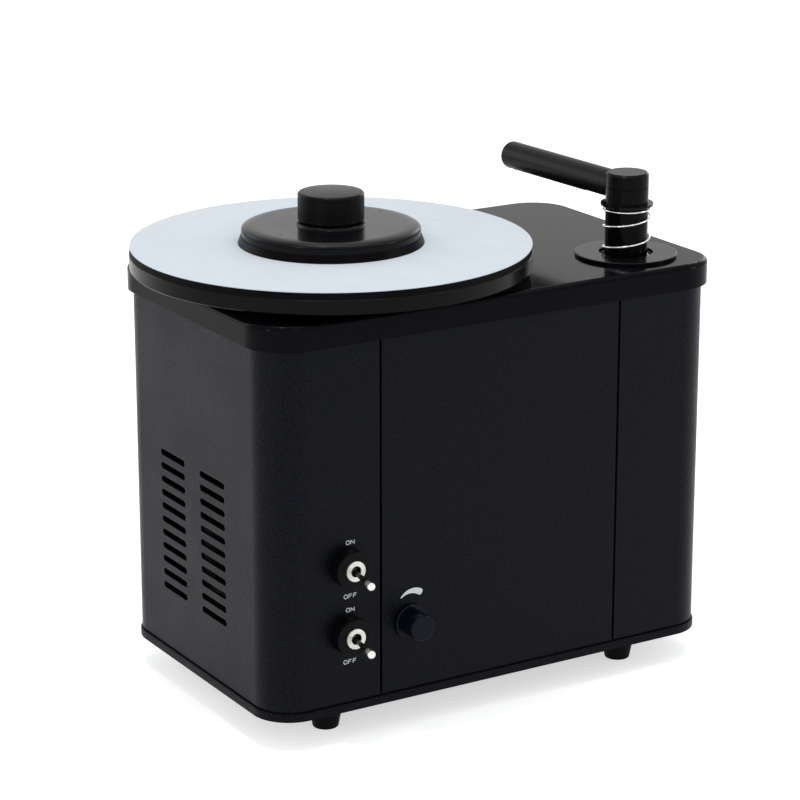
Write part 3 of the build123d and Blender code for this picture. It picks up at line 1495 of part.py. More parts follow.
with BuildPart() as machine_screws:
    m3 = (m3_radius, m3_head_radius, m3_head_height)
    m4 = (m4_radius, m4_head_radius, m4_head_height)
    foot_seat = foot_hole_depth - foot_height
    rising_screws(foot_points, foot_seat, base_thickness - foot_seat, *m4)
    post_reach = body_z - m5_head_height + stud_length
    rising_screws(post_points, m5_head_height, post_reach, m5_radius, m5_head_radius, m5_head_height)
    housing_reach = housing_flange_thickness + stud_length
    rising_screws(housing_points, plate_z - housing_flange_thickness, housing_reach, *m4)
    sleeve_reach = sleeve_flange_thickness + stud_length
    rising_screws(sleeve_points, plate_z - sleeve_flange_thickness, sleeve_reach, *m4)
    rising_screws(standoff_points, gearbox_top, bracket_thickness + stud_length, *m4)
    gearbox_reach = bracket_thickness + gearbox_screw_hole - face_play
    falling_screws(gearbox_screw_points, bracket_top, gearbox_reach, *m3)
    falling_screws(board_points, board_top, board_thickness + board_screw_hole - face_play, *m3)
    with BuildSketch(Plane.XZ.offset(-inlet_face)):
        with Locations((inlet_x, inlet_z)):
            with GridLocations(inlet_screw_spacing, 1, 2, 1):
                Circle(m3_head_radius)
    extrude(amount=-m3_head_height)
    with BuildSketch(Plane.XZ.offset(-inlet_face)):
        with Locations((inlet_x, inlet_z)):
            with GridLocations(inlet_screw_spacing, 1, 2, 1):
                Circle(m3_radius)
    extrude(amount=inlet_flange_thickness + shell_wall)
save(machine_screws.part, "machine_screws")
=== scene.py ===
import json
import math

import bmesh
import bpy
from mathutils import Matrix, Vector


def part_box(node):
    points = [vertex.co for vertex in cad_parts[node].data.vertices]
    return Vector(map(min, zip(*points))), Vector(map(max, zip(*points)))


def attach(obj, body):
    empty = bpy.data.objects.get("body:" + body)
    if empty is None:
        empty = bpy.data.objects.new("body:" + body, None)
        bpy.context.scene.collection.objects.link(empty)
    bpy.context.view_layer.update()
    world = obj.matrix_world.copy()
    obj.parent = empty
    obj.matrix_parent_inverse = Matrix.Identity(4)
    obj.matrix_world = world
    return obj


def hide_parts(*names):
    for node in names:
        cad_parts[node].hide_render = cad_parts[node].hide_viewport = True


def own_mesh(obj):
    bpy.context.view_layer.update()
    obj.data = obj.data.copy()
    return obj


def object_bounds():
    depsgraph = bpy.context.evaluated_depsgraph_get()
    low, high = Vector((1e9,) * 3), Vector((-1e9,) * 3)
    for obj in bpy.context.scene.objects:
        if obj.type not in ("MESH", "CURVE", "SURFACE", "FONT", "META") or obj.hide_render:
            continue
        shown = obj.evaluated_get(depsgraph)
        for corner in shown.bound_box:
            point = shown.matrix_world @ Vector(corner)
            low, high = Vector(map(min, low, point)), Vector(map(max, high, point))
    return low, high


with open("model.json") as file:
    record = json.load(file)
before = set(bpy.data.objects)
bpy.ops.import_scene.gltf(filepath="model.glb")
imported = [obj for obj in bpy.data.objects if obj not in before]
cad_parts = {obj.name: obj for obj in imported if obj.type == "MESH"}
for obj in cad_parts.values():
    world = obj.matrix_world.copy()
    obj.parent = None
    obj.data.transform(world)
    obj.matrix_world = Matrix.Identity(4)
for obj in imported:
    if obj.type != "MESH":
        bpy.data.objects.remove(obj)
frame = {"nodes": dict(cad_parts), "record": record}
nodes = frame["nodes"]
record = frame["record"]
bounds_at_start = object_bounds()
scene = bpy.context.scene
MM = 0.001
# Every glossy ray meets white, so a black non-metal reflects this share of the usual.
ROOM_SHARE = 0.16
METAL_FROM = 0.3  # a surface more metallic than this keeps its whole specular level


# ---------------------------------------------------------------- meshes
def make(name, vertices, faces, material, body, node=None, smooth_below=35):
    """A mesh piece in the row frame that rides on a body.

    Where a node is named, the piece stands for it.
    """
    mesh = bpy.data.meshes.new(name)
    mesh.from_pydata([tuple(v) for v in vertices], [], faces)
    mesh.update()
    work = bmesh.new()
    work.from_mesh(mesh)
    bmesh.ops.recalc_face_normals(work, faces=work.faces)
    work.to_mesh(mesh)
    work.free()
    mesh.shade_smooth()
    mesh.set_sharp_from_angle(angle=math.radians(smooth_below))
    mesh.materials.append(material)
    piece = bpy.data.objects.new(name, mesh)
    scene.collection.objects.link(piece)
    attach(piece, body)
    if node:
        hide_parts(node)
    return piece


def swept(path, radius, sides=16):
    """Vertices and faces of a round bar along a path, closed at both ends."""
    vertices = []
    faces = []
    tangents = []
    for index in range(len(path)):
        ahead = path[min(index + 1, len(path) - 1)]
        behind = path[max(index - 1, 0)]
        tangents.append((ahead - behind).normalized())
    side = tangents[0].orthogonal().normalized()
    for index, point in enumerate(path):
        side = (side - tangents[index] * side.dot(tangents[index])).normalized()
        other = tangents[index].cross(side)
        for step in range(sides):
            angle = 2 * math.pi * step / sides
            vertices.append(point + (side * math.cos(angle) + other * math.sin(angle)) * radius)
        if index == 0:
            continue
        base = (index - 1) * sides
        for step in range(sides):
            beside = (step + 1) % sides
            faces.append((base + step, base + beside, base + sides + beside, base + sides + step))
    faces.append(tuple(range(sides)))
    faces.append(tuple(range(len(vertices) - sides, len(vertices))))
    return vertices, faces


# ---------------------------------------------------------------- materials
def link(material, source, node, socket):
    material.node_tree.links.new(source, node.inputs[socket])


def add(material, kind, inputs=None, **settings):
    """A shader node; each input is a number, a colour or the socket that feeds it."""
    node = material.node_tree.nodes.new(kind)
    for name, value in settings.items():
        setattr(node, name, value)
    for name, value in (inputs or {}).items():
        if isinstance(value, bpy.types.NodeSocket):
            link(material, value, node, name)
        else:
            node.inputs[name].default_value = value
    return node


def surface(name, colour, roughness, metallic=0.0, specular=0.5, tint=(1.0, 1.0, 1.0)):
    """A new material with its uniform numbers set."""
    material = bpy.data.materials.new(name)
    material.use_nodes = True
    shader = material.node_tree.nodes["Principled BSDF"]
    shader.inputs["Base Color"].default_value = (*colour, 1)
    shader.inputs["Roughness"].default_value = roughness
    shader.inputs["Metallic"].default_value = metallic
    share = 1 if metallic > METAL_FROM else ROOM_SHARE
    shader.inputs["Specular IOR Level"].default_value = specular * share
    shader.inputs["Specular Tint"].default_value = (*tint, 1)
    return material


def shader_of(material):
    return material.node_tree.nodes["Principled BSDF"]


def place(material, centre=(0, 0, 0), stretch=(1, 1, 1)):
    """Coordinates in metres in the row frame, from a centre, each axis scaled."""
    coordinates = add(material, "ShaderNodeTexCoord")
    moved = add(
        material,
        "ShaderNodeVectorMath",
        {0: coordinates.outputs["Object"], 1: centre},
        operation="SUBTRACT",
    )
    scaled = add(
        material,
        "ShaderNodeVectorMath",
        {0: moved.outputs[0], 1: stretch},
        operation="MULTIPLY",
    )
    return scaled.outputs[0]


def background_ray(owner):
    """1 for the rays that meet the white background: camera, glossy and transmission rays."""
    paths = add(owner, "ShaderNodeLightPath").outputs
    factor = paths["Is Camera Ray"]
    for kind in ("Is Glossy Ray", "Is Transmission Ray"):
        factor = add(owner, "ShaderNodeMath", {0: factor, 1: paths[kind]}, operation="MAXIMUM")
        factor = factor.outputs[0]
    return factor


def noise(material, vector, scale, detail=2.0, rough=0.5):
    texture = add(
        material,
        "ShaderNodeTexNoise",
        {"Vector": vector, "Scale": scale, "Detail": detail, "Roughness": rough},
    )
    return texture.outputs["Fac"]


def spread(material, value, low, high, start=0.35, end=0.65):
    """Maps a value between start and end to the range from low to high."""
    mapped = add(
        material,
        "ShaderNodeMapRange",
        {"Value": value, "From Min": start, "From Max": end, "To Min": low, "To Max": high},
    )
    return mapped.outputs["Result"]


def blend_colours(material, value, low, high, start=0.35, end=0.65):
    """Goes from one colour to the other as a value goes from start to end."""
    factor = spread(material, value, 0, 1, start, end)
    mixed = add(
        material,
        "ShaderNodeMix",
        {"Factor": factor, "A": (*low, 1), "B": (*high, 1)},
        data_type="RGBA",
    )
    return mixed.outputs["Result"]


def relief(material, height, distance, strength=1.0):
    """Adds a bump on top of any that the material has."""
    shader = shader_of(material)
    bump = add(
        material, "ShaderNodeBump", {"Height": height, "Distance": distance, "Strength": strength}
    )
    socket = shader.inputs["Normal"]
    if socket.is_linked:
        link(material, socket.links[0].from_socket, bump, "Normal")
    link(material, bump.outputs["Normal"], shader, "Normal")


def turned_marks(material, centre, axis="Z", around=3.0):
    """Coordinates that run along a lathe's cut: radius, depth and a little of the angle."""
    vector = place(material, centre)
    parts = add(material, "ShaderNodeSeparateXYZ", {0: vector})
    first, second, depth = {"Z": (0, 1, 2), "Y": (0, 2, 1)}[axis]
    flat = add(
        material,
        "ShaderNodeCombineXYZ",
        {0: parts.outputs[first], 1: parts.outputs[second], 2: 0.0},
    )
    radius = add(material, "ShaderNodeVectorMath", {0: flat.outputs[0]}, operation="LENGTH")
    angle = add(
        material,
        "ShaderNodeMath",
        {0: parts.outputs[second], 1: parts.outputs[first]},
        operation="ARCTAN2",
    )
    scaled = add(
        material,
        "ShaderNodeMath",
        {0: angle.outputs[0], 1: around * MM},
        operation="MULTIPLY",
    )
    marks = add(
        material,
        "ShaderNodeCombineXYZ",
        {0: radius.outputs["Value"], 1: parts.outputs[depth], 2: scaled.outputs[0]},
    )
    return marks.outputs[0]


def powder_coat(name, colour, roughness, specular, grain_scale=820.0, depth=0.00045):
    """Fine textured paint: grain and slow changes of gloss, with a cold sheen."""
    material = surface(name, colour, roughness, specular=specular, tint=(0.92, 0.94, 1.0))
    where = place(material)
    grain = noise(material, where, grain_scale, 3.0, 0.6)
    slow = noise(material, where, 22.0, 2.0)
    darker = tuple(c * 0.4 for c in colour)
    lighter = tuple(c * 2.2 for c in colour)
    link(
        material,
        blend_colours(material, grain, darker, lighter, 0.42, 0.6),
        shader_of(material),
        "Base Color",
    )
    link(
        material,
        spread(material, slow, roughness - 0.03, roughness + 0.05),
        shader_of(material),
        "Roughness",
    )
    relief(material, grain, depth, 0.55)
    return material


def gloss(name, colour, roughness, specular=0.5, wave=0.00001):
    """Glossy black lacquer with a slight orange peel and faint specks."""
    material = surface(name, colour, roughness, specular=specular)
    where = place(material)
    peel = noise(material, where, 260.0, 2.0)
    wipes = noise(material, where, 34.0, 2.0)
    link(
        material,
        spread(material, wipes, roughness * 0.92, roughness * 1.1),
        shader_of(material),
        "Roughness",
    )
    speck = noise(material, where, 1500.0, 1.0)
    brighter = tuple(c + 0.003 for c in colour)
    link(
        material,
        blend_colours(material, speck, colour, brighter, 0.5, 0.8),
        shader_of(material),
        "Base Color",
    )
    relief(material, peel, wave)
    return material


def machined(name, colour, roughness, centre, axis="Z", metallic=1.0, depth=0.00002, specular=0.5):
    """Metal from a lathe: fine rings round an axis."""
    material = surface(name, colour, roughness, metallic=metallic, specular=specular)
    marks = turned_marks(material, centre, axis)
    rings = noise(material, marks, 2600.0, 2.0, 0.6)
    slow = noise(material, marks, 500.0, 2.0)
    dull = tuple(c * 0.86 for c in colour)
    link(
        material,
        blend_colours(material, slow, dull, colour),
        shader_of(material),
        "Base Color",
    )
    link(
        material,
        spread(material, rings, roughness * 0.8, roughness * 1.25),
        shader_of(material),
        "Roughness",
    )
    relief(material, rings, depth, 0.5)
    return material


def cast_metal(name, colour, roughness, metallic=1.0, scale=420.0, depth=0.00003):
    """Plated or drawn metal with faint spots and streaks."""
    material = surface(name, colour, roughness, metallic=metallic)
    where = place(material)
    spots = noise(material, where, scale, 3.0)
    streaks = noise(material, place(material, stretch=(40, 40, 900)), 1.0, 2.0)
    dull = tuple(c * 0.8 for c in colour)
    link(
        material,
        blend_colours(material, spots, dull, colour),
        shader_of(material),
        "Base Color",
    )
    link(
        material,
        spread(material, streaks, roughness * 0.75, roughness * 1.3),
        shader_of(material),
        "Roughness",
    )
    relief(material, spots, depth, 0.4)
    return material


def moulded(name, colour, roughness, scale=900.0, depth=0.00005, specular=0.5, change=0.25):
    """Moulded plastic or rubber with a fine skin."""
    material = surface(name, colour, roughness, specular=specular)
    where = place(material)
    skin = noise(material, where, scale, 3.0, 0.6)
    slow = noise(material, where, 60.0, 2.0)
    darker = tuple(c * (1 - change) for c in colour)
    link(
        material,
        blend_colours(material, slow, darker, colour),
        shader_of(material),
        "Base Color",
    )
    link(
        material,
        spread(material, skin, max(roughness - 0.06, 0.05), min(roughness + 0.08, 1)),
        shader_of(material),
        "Roughness",
    )
    relief(material, skin, depth, 0.6)
    return material


def mid(node):
    low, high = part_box(node)
    return (low + high) / 2


platter_axis = mid("platter")
arm_axis = mid("escutcheon")

velvet = surface("velvet", (0.006, 0.006, 0.007), 0.95)
shader_of(velvet).inputs["Sheen Weight"].default_value = 0.6
shader_of(velvet).inputs["Sheen Roughness"].default_value = 0.4
pile = noise(velvet, place(velvet), 3200.0, 2.0)
link(
    velvet,
    blend_colours(velvet, pile, (0.003, 0.003, 0.004), (0.014, 0.014, 0.016)),
    shader_of(velvet),
    "Base Color",
)
relief(velvet, pile, 0.0003, 0.8)

finishes = {
    "shell_paint": powder_coat("shell_paint", (0.0026, 0.0029, 0.0052), 0.33, 0.5),
    "base_paint": powder_coat("base_paint", (0.0030, 0.0033, 0.0052), 0.40, 0.4),
    "zinc_steel": cast_metal("zinc_steel", (0.62, 0.62, 0.60), 0.34),
    "gloss_black": gloss("gloss_black", (0.0018, 0.0019, 0.0034), 0.11, specular=0.28),
    "black_anodised": machined(
        "black_anodised", (0.003, 0.003, 0.004), 0.21, platter_axis, metallic=0.0, specular=0.5
    ),
    "bare_aluminium": machined("bare_aluminium", (0.75, 0.75, 0.76), 0.3, platter_axis),
    "steel": cast_metal("steel", (0.52, 0.52, 0.52), 0.28),
    "chrome": cast_metal("chrome", (0.80, 0.80, 0.81), 0.09, scale=200.0, depth=0.00001),
    "bronze": cast_metal("bronze", (0.55, 0.34, 0.16), 0.35),
    "brass": cast_metal("brass", (0.68, 0.50, 0.21), 0.25),
    "rubber": moulded("rubber", (0.006, 0.006, 0.007), 0.55, specular=0.35),
    "mat_foam": moulded(
        "mat_foam", (0.0035, 0.0035, 0.004), 0.6, scale=1400.0, depth=0.00010, specular=0.25
    ),
    "mat_white": moulded(
        "mat_white", (0.685, 0.735, 0.790), 0.80, scale=1300.0, depth=0.00010, change=0.03
    ),
    "matt_black": moulded("matt_black", (0.0026, 0.0026, 0.0032), 0.38, scale=1600.0),
    "knob_blue_black": moulded(
        "knob_blue_black", (0.003, 0.0042, 0.011), 0.15, scale=60.0, depth=0.00001, specular=0.6
    ),
    "velvet": velvet,
    "tank_plastic": moulded("tank_plastic", (0.60, 0.61, 0.58), 0.4, scale=300.0),
    "hose_rubber": moulded("hose_rubber", (0.012, 0.012, 0.013), 0.55, scale=800.0),
    "board_green": moulded("board_green", (0.015, 0.12, 0.045), 0.35, scale=500.0),
    "laminated_iron": cast_metal("laminated_iron", (0.20, 0.19, 0.18), 0.5, scale=800.0),
}
arm_satin = moulded("arm_satin", (0.0070, 0.0070, 0.0078), 0.28, scale=2600.0, depth=0.000004)
head_satin = gloss("head_satin", (0.0025, 0.0025, 0.0031), 0.24, specular=0.38)
escutcheon_satin = gloss("escutcheon_satin", (0.002, 0.002, 0.0025), 0.17, specular=0.8)
# Painted shade: the ring's edge is given a lower specular level than its flat top, so the edge
# shows darker.
ring_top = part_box("escutcheon")[1].z
ring_z = add(escutcheon_satin, "ShaderNodeSeparateXYZ", {0: place(escutcheon_satin)}).outputs[2]
link(
    escutcheon_satin,
    spread(escutcheon_satin, ring_z, 0.03, 0.09, ring_top - 0.5 * MM, ring_top - 0.1 * MM),
    shader_of(escutcheon_satin),
    "Specular IOR Level",
)
# Painted highlight: faces turned upward get a higher specular level, so the clamp's top shines a
# little more than its side.
clamp_gloss = gloss("clamp_gloss", (0.0026, 0.0026, 0.0034), 0.20)
facing = add(clamp_gloss, "ShaderNodeNewGeometry").outputs["Normal"]
upward = add(clamp_gloss, "ShaderNodeSeparateXYZ", {0: facing}).outputs[2]
link(
    clamp_gloss,
    spread(clamp_gloss, upward, 0.12, 0.15, 0.7, 1.0),
    shader_of(clamp_gloss),
    "Specular IOR Level",
)
post_gloss = gloss("post_gloss", (0.0020, 0.0020, 0.0026), 0.15, specular=0.30)
nickel = cast_metal("nickel", (0.93, 0.91, 0.84), 0.3, metallic=0.35, scale=300.0, depth=0.00001)
# A lever is bright chrome at its ball; along its shaft the colour is painted dark, a painted
# reflection of dark surroundings.
lever_chrome = cast_metal("lever_chrome", (0.84, 0.83, 0.80), 0.18, metallic=0.8, depth=0.00001)
ball_depth = 6.0 * MM
ball_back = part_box("turntable_lever")[0].y + ball_depth
lever_y = add(lever_chrome, "ShaderNodeSeparateXYZ", {0: place(lever_chrome)}).outputs[1]
# Painted shade: the dark shaft colour stands in for the dark surroundings the shaft reflects.
ball_bright_shaft_painted_dark = blend_colours(
    lever_chrome, lever_y, (0.84, 0.83, 0.80), (0.045, 0.040, 0.030), ball_back, ball_back + MM
)
link(lever_chrome, ball_bright_shaft_painted_dark, shader_of(lever_chrome), "Base Color")
special = {
    "arm_tube": arm_satin,
    "arm_end_cap": arm_satin,
    "arm_head": head_satin,
    "head_cap": head_satin,
    "arm_post": post_gloss,
    "spring_collar": gloss("collar_gloss", (0.0020, 0.0020, 0.0026), 0.15),
    "clamp_disc": clamp_gloss,
    "clamp_seal": gloss("seal_gloss", (0.0008, 0.0008, 0.0011), 0.33, specular=0.25),
    "escutcheon": escutcheon_satin,
    "panel_nuts": nickel,
    "turntable_lever": lever_chrome,
    "vacuum_lever": lever_chrome,
}
for entry in record["subparts"]:
    node = nodes[entry["node"]]
    node.data.materials.clear()
    node.data.materials.append(special.get(entry["node"], finishes[entry["material_slot"]]))

# ---------------------------------------------------------------- clamp knob, knurled
knob_low, knob_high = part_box("clamp_knob")
knob_radius = (knob_high.x - knob_low.x) / 2
knob_top = knob_high.z
knob_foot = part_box("clamp_disc")[1].z + 0.4 * MM
knurl_pitch = 1.0 * MM
knurl_depth = 0.13 * MM
knurl_inset = 0.05 * MM  # keeps the ridges inside the CAD knob
knob_crown = 0.6 * MM
neck_radius = 5.0 * MM
knurl_low = knob_foot + 1.0 * MM
knurl_high = knob_top - knob_crown - 1.5 * MM
knurl_count = round(2 * math.pi * knob_radius / knurl_pitch)
samples = 6  # grid steps per ridge
columns = knurl_count * samples
rows = round((knurl_high - knurl_low) / knurl_pitch) * samples


def ridge(value):
    """Triangle wave from 0 at whole numbers to 1 at halves."""
    return 1 - abs(2 * (value % 1) - 1)


knob_grid = []
for row in range(rows + 1):
    height = knurl_low + (knurl_high - knurl_low) * row / rows
    fade = min(1.0, row / samples, (rows - row) / samples)
    for column in range(columns):
        turn = column / samples
        climb = row / samples
        depth = knurl_depth * fade * (1 - min(ridge(turn + climb), ridge(turn - climb)))
        angle = 2 * math.pi * column / columns
        radius = knob_radius - knurl_inset - depth
        knob_grid.append(
            (
                platter_axis.x + radius * math.cos(angle),
                platter_axis.y + radius * math.sin(angle),
                height,
            )
        )
knob_faces = []
for row in range(rows):
    for column in range(columns):
        beside = (column + 1) % columns
        knob_faces.append(
            (
                row * columns + column,
                row * columns + beside,
                (row + 1) * columns + beside,
                (row + 1) * columns + column,
            )
        )


def knob_ring(radius, height):
    """One more ring of the knob's grid; its number of points matches the knurl."""
    start = len(knob_grid)
    for column in range(columns):
        angle = 2 * math.pi * column / columns
        knob_grid.append(
            (
                platter_axis.x + radius * math.cos(angle),
                platter_axis.y + radius * math.sin(angle),
                height,
            )
        )
    return start


def knob_band(lower, upper):
    """Faces between two rings, each named by its first point."""
    for column in range(columns):
        beside = (column + 1) % columns
        knob_faces.append((lower + column, lower + beside, upper + beside, upper + column))


edge = knob_radius - knurl_inset
previous = rows * columns
for radius, height in (
    (edge, knurl_high + 0.35 * MM),
    (edge - 0.12 * MM, knurl_high + 0.55 * MM),
    (edge - 0.85 * MM, knob_top - knob_crown - 0.20 * MM),
    (edge - 1.15 * MM, knob_top - knob_crown - 0.06 * MM),
    (edge - 1.6 * MM, knob_top - knob_crown),
    (edge * 0.8, knob_top - knob_crown * 0.72),
    (edge * 0.6, knob_top - knob_crown * 0.42),
    (edge * 0.4, knob_top - knob_crown * 0.19),
    (edge * 0.2, knob_top - knob_crown * 0.05),
    (0.5 * MM, knob_top),
):
    ring = knob_ring(radius, height)
    knob_band(previous, ring)
    previous = ring
knob_faces.append(tuple(range(previous, previous + columns)))
previous = 0
for radius, height in (
    (edge - 0.2 * MM, knob_foot + 0.5 * MM),
    (edge - 0.7 * MM, knob_foot),
    (neck_radius, knob_foot),
    (neck_radius, knob_low.z),
):
    ring = knob_ring(radius, height)
    knob_band(ring, previous)
    previous = ring
knob_faces.append(tuple(range(previous, previous + columns)))
knob_paint = moulded(
    "knurled_black", (0.0030, 0.0030, 0.0034), 0.24, scale=1500.0, depth=0.00001, specular=0.4
)
make(
    "clamp_knob_knurled",
    knob_grid,
    knob_faces,
    knob_paint,
    "clamp_knob",
    "clamp_knob",
)

# ---------------------------------------------------------------- arm spring
spring_low, spring_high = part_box("arm_spring")
wire = 0.6 * MM  # the wire's radius
coil_radius = (spring_high.x - spring_low.x) / 2 - wire
lead = 1.25 * MM  # rise of each closed end turn
pitch = 12.9 * MM  # rise of each open turn
first_open = spring_low.z + wire + lead
last_open = spring_high.z - wire - lead
open_turns = (last_open - first_open) / pitch
start_turn = 227.5 / 360  # where the wire begins, in turns from +x
spring_path = []
steps_per_turn = 72
total_turns = 1 + open_turns + 1
for step in range(round(total_turns * steps_per_turn) + 1):
    turns = step / steps_per_turn
    if turns < 1:
        height = first_open - lead * (1 - turns)
    elif turns < 1 + open_turns:
        height = first_open + pitch * (turns - 1)
    else:
        height = last_open + lead * (turns - 1 - open_turns)
    angle = 2 * math.pi * (start_turn + turns)
    spring_path.append(
        Vector(
            (
                arm_axis.x + coil_radius * math.cos(angle),
                arm_axis.y + coil_radius * math.sin(angle),
                height,
            )
        )
    )
spring_wire = cast_metal("spring_wire", (0.85, 0.85, 0.84), 0.20, metallic=0.9, depth=0.00001)
vertices, faces = swept(spring_path, wire)
spring = make("arm_spring_coils", vertices, faces, spring_wire, "swivel", "arm_spring")
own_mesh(spring)

# ---------------------------------------------------------------- printed marks
print_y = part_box("front_panel")[0].y
print_depth = 0.05 * MM
white_print = moulded("white_print", (0.84, 0.86, 0.88), 0.6, scale=2500.0, change=0.08)


def ribbon(outline, vertices, faces):
    """A thin printed band between two lists of (x, z) points, standing just off the panel."""
    left, right = outline
    start = len(vertices)
    for first, second in zip(left, right):
        for x, z in (first, second):
            vertices.append((x, print_y - print_depth, z))
            vertices.append((x, print_y, z))
    count = len(left)
    for index in range(count - 1):
        a = start + index * 4
        b = a + 4
        faces.append((a, b, b + 2, a + 2))
        faces.append((a + 1, a + 3, b + 3, b + 1))
        faces.append((a, a + 1, b + 1, b))
        faces.append((a + 2, b + 2, b + 3, a + 3))
    faces.append((start, start + 2, start + 3, start + 1))
    end = start + (count - 1) * 4
    faces.append((end, end + 1, end + 3, end + 2))


def stroke(path, width):
    """The two sides of a line of even width along a path of (x, z) points."""
    left = []
    right = []
    for index, point in enumerate(path):
        ahead = Vector(path[min(index + 1, len(path) - 1)])
        behind = Vector(path[max(index - 1, 0)])
        along = (ahead - behind).normalized()
        across = Vector((-along.y, along.x)) * width / 2
        left.append(tuple(Vector(point) + across))
        right.append(tuple(Vector(point) - across))
    return left, right


# sizes of the lettering in millimetres
letter_height = 2.4
letter_width = 2.3
letter_gap = 0.85
line_width = 0.42


def letter_paths(letter):
    """The strokes of a letter in a box letter_width by letter_height."""
    w = letter_width
    h = letter_height
    if letter == "O":
        return [
            [
                (
                    w / 2 + w / 2 * math.cos(math.radians(a)),
                    h / 2 + h / 2 * math.sin(math.radians(a)),
                )
                for a in range(0, 361, 12)
            ]
        ]
    if letter == "N":
        return [[(0, 0), (0, h)], [(0, h), (w, 0)], [(w, 0), (w, h)]]
    return [[(0, 0), (0, h)], [(0, h), (w * 0.9, h)], [(0, h * 0.52), (w * 0.75, h * 0.52)]]


def word(name, text, centre_x, centre_z):
    """One printed word; its centre is in millimetres."""
    vertices = []
    faces = []
    length = len(text) * letter_width + (len(text) - 1) * letter_gap
    for index, letter in enumerate(text):
        left = centre_x - length / 2 + index * (letter_width + letter_gap)
        low = centre_z - letter_height / 2
        for path in letter_paths(letter):
            moved = [((left + x) * MM, (low + z) * MM) for x, z in path]
            ribbon(stroke(moved, line_width * MM), vertices, faces)
    make(name, vertices, faces, white_print, "root")


switch_x = mid("turntable_lever").x / MM
word("turntable_on", "ON", switch_x + 1.9, 104.5)
word("turntable_off", "OFF", switch_x + 1.9, 71.6)
word("vacuum_on", "ON", switch_x + 1.7, 63.1)
word("vacuum_off", "OFF", switch_x + 1.5, 31.0)

# The wedge lies between two arcs: centre x, centre z and radius in millimetres, then angles.
upper_arc = (-61.0, 57.3, 10.9, 146.0, 50.0)
lower_arc = (-63.3, 55.3, 9.9, 127.0, 46.0)
wedge_steps = 48
wedge_cap = 0.10  # share of the wedge that its round end takes


def on_arc(arc, share):
    """The point at a share of an arc (centre x, centre z, radius, first and last angle)."""
    angle = math.radians(arc[3] + (arc[4] - arc[3]) * share)
    return Vector((arc[0] + arc[2] * math.cos(angle), arc[1] + arc[2] * math.sin(angle))) * MM


outer_side = []
inner_side = []
for step in range(wedge_steps + 1):
    share = step / wedge_steps
    outer = on_arc(upper_arc, share)
    inner = on_arc(lower_arc, share)
    middle = (outer + inner) / 2
    past = max(0.0, (share - 1 + wedge_cap) / wedge_cap)
    full = math.sqrt(max(0.0, 1 - past * past))
    outer_side.append(tuple(middle + (outer - middle) * full))
    inner_side.append(tuple(middle + (inner - middle) * full))
vertices, faces = [], []
ribbon((outer_side, inner_side), vertices, faces)
make("speed_wedge", vertices, faces, white_print, "root")

# ---------------------------------------------------------------- floor
floor_z = bounds_at_start[0].z
floor_mesh = bpy.data.meshes.new("floor")
reach = 6.0
floor_mesh.from_pydata(
    [(x * reach, y * reach, floor_z) for x, y in ((-1, -1), (1, -1), (1, 1), (-1, 1))],
    [],
    [(0, 1, 2, 3)],
)
floor = bpy.data.objects.new("floor", floor_mesh)
scene.collection.objects.link(floor)
floor_paint = bpy.data.materials.new("floor_paint")
floor_paint.use_nodes = True
floor_paint.node_tree.nodes.clear()
paper = add(floor_paint, "ShaderNodeBsdfDiffuse", {"Color": (0.80, 0.80, 0.80, 1)})
glow = add(floor_paint, "ShaderNodeEmission", {"Color": (1, 1, 1, 1), "Strength": 0.58})
lit = add(floor_paint, "ShaderNodeAddShader", {0: paper.outputs[0], 1: glow.outputs[0]})
seen = add(
    floor_paint,
    "ShaderNodeMixShader",
    {0: background_ray(floor_paint), 1: paper.outputs[0], 2: lit.outputs[0]},
)
add(floor_paint, "ShaderNodeOutputMaterial", {"Surface": seen.outputs[0]})
floor_mesh.materials.append(floor_paint)

# ---------------------------------------------------------------- world
world = bpy.data.worlds.new("studio")
scene.world = world
world.use_nodes = True
world.node_tree.nodes.clear()
room = add(world, "ShaderNodeBackground", {"Color": (0.96, 0.99, 1.0, 1), "Strength": 0.57})
backdrop = add(world, "ShaderNodeBackground", {"Color": (1, 1, 1, 1), "Strength": 1.0})
choice = add(
    world,
    "ShaderNodeMixShader",
    {0: background_ray(world), 1: room.outputs[0], 2: backdrop.outputs[0]},
)
add(world, "ShaderNodeOutputWorld", {"Surface": choice.outputs[0]})


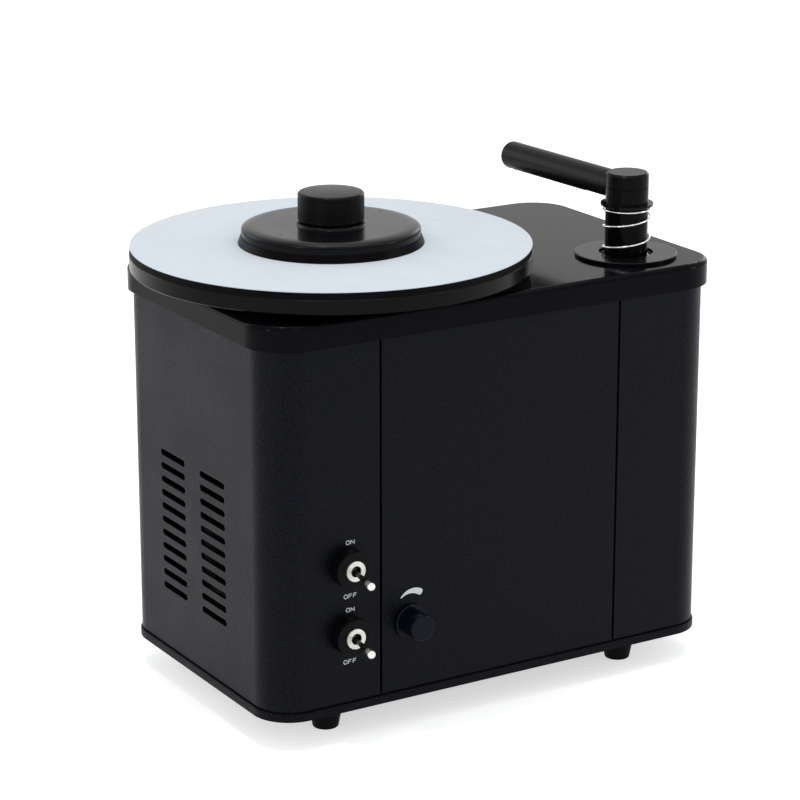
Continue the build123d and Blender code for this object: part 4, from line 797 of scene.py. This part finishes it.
# ---------------------------------------------------------------- lights
def softbox(name, position, target, width, height, power):
    """A rectangular lamp that faces its target."""
    light = bpy.data.lights.new(name, "AREA")
    light.shape = "RECTANGLE"
    light.size = width
    light.size_y = height
    light.energy = power
    lamp = bpy.data.objects.new(name, light)
    scene.collection.objects.link(lamp)
    aim = Vector(target) - Vector(position)
    lamp.rotation_euler = aim.to_track_quat("-Z", "Y").to_euler()
    lamp.location = position
    return lamp


softbox("overhead", (0.1, 0.05, 1.7), (0, 0, 0.2), 1.2, 0.9, 6.4)
softbox("glint", (-0.35, -0.15, 1.75), (0, 0, 0.25), 0.16, 0.16, 2.8)
softbox("high_right", (0.79, -0.64, 1.45), (0, 0, 0.15), 0.24, 0.24, 0.9)
softbox("back_left", (-0.86, 1.32, 0.70), (0.05, 0.1, 0.28), 0.95, 0.85, 4.0)
softbox("right_back", (1.30, 0.75, 0.70), (0.1, 0, 0.25), 0.60, 0.50, 1.8)
softbox("left_strip", (-1.45, -0.50, 0.48), (0, 0, 0.25), 0.26, 0.5, 2.6)
softbox("right_strip", (1.20, -0.95, 0.48), (0, 0, 0.25), 0.26, 0.5, 2.6)
softbox("front_strip", (-0.20, -1.71, 0.90), (0, 0, 0.25), 0.30, 0.9, 1.1)

# ---------------------------------------------------------------- camera
yaw = math.radians(-31.29)
pitch = math.radians(16.85)
back = Vector(
    (math.sin(yaw) * math.cos(pitch), -math.cos(yaw) * math.cos(pitch), math.sin(pitch))
)
right = Vector((math.cos(yaw), math.sin(yaw), 0))
up = back.cross(right)
lens = bpy.data.cameras.new("camera")
lens.sensor_width = 36.0
lens.lens = 130.31
camera = bpy.data.objects.new("camera", lens)
scene.collection.objects.link(camera)
spot = right * -0.01125 + up * 0.1430 + back * 1.8261
camera.matrix_world = Matrix(
    (
        (right.x, up.x, back.x, spot.x),
        (right.y, up.y, back.y, spot.y),
        (right.z, up.z, back.z, spot.z),
        (0, 0, 0, 1),
    )
)
scene.camera = camera
scene.view_settings.view_transform = "Standard"

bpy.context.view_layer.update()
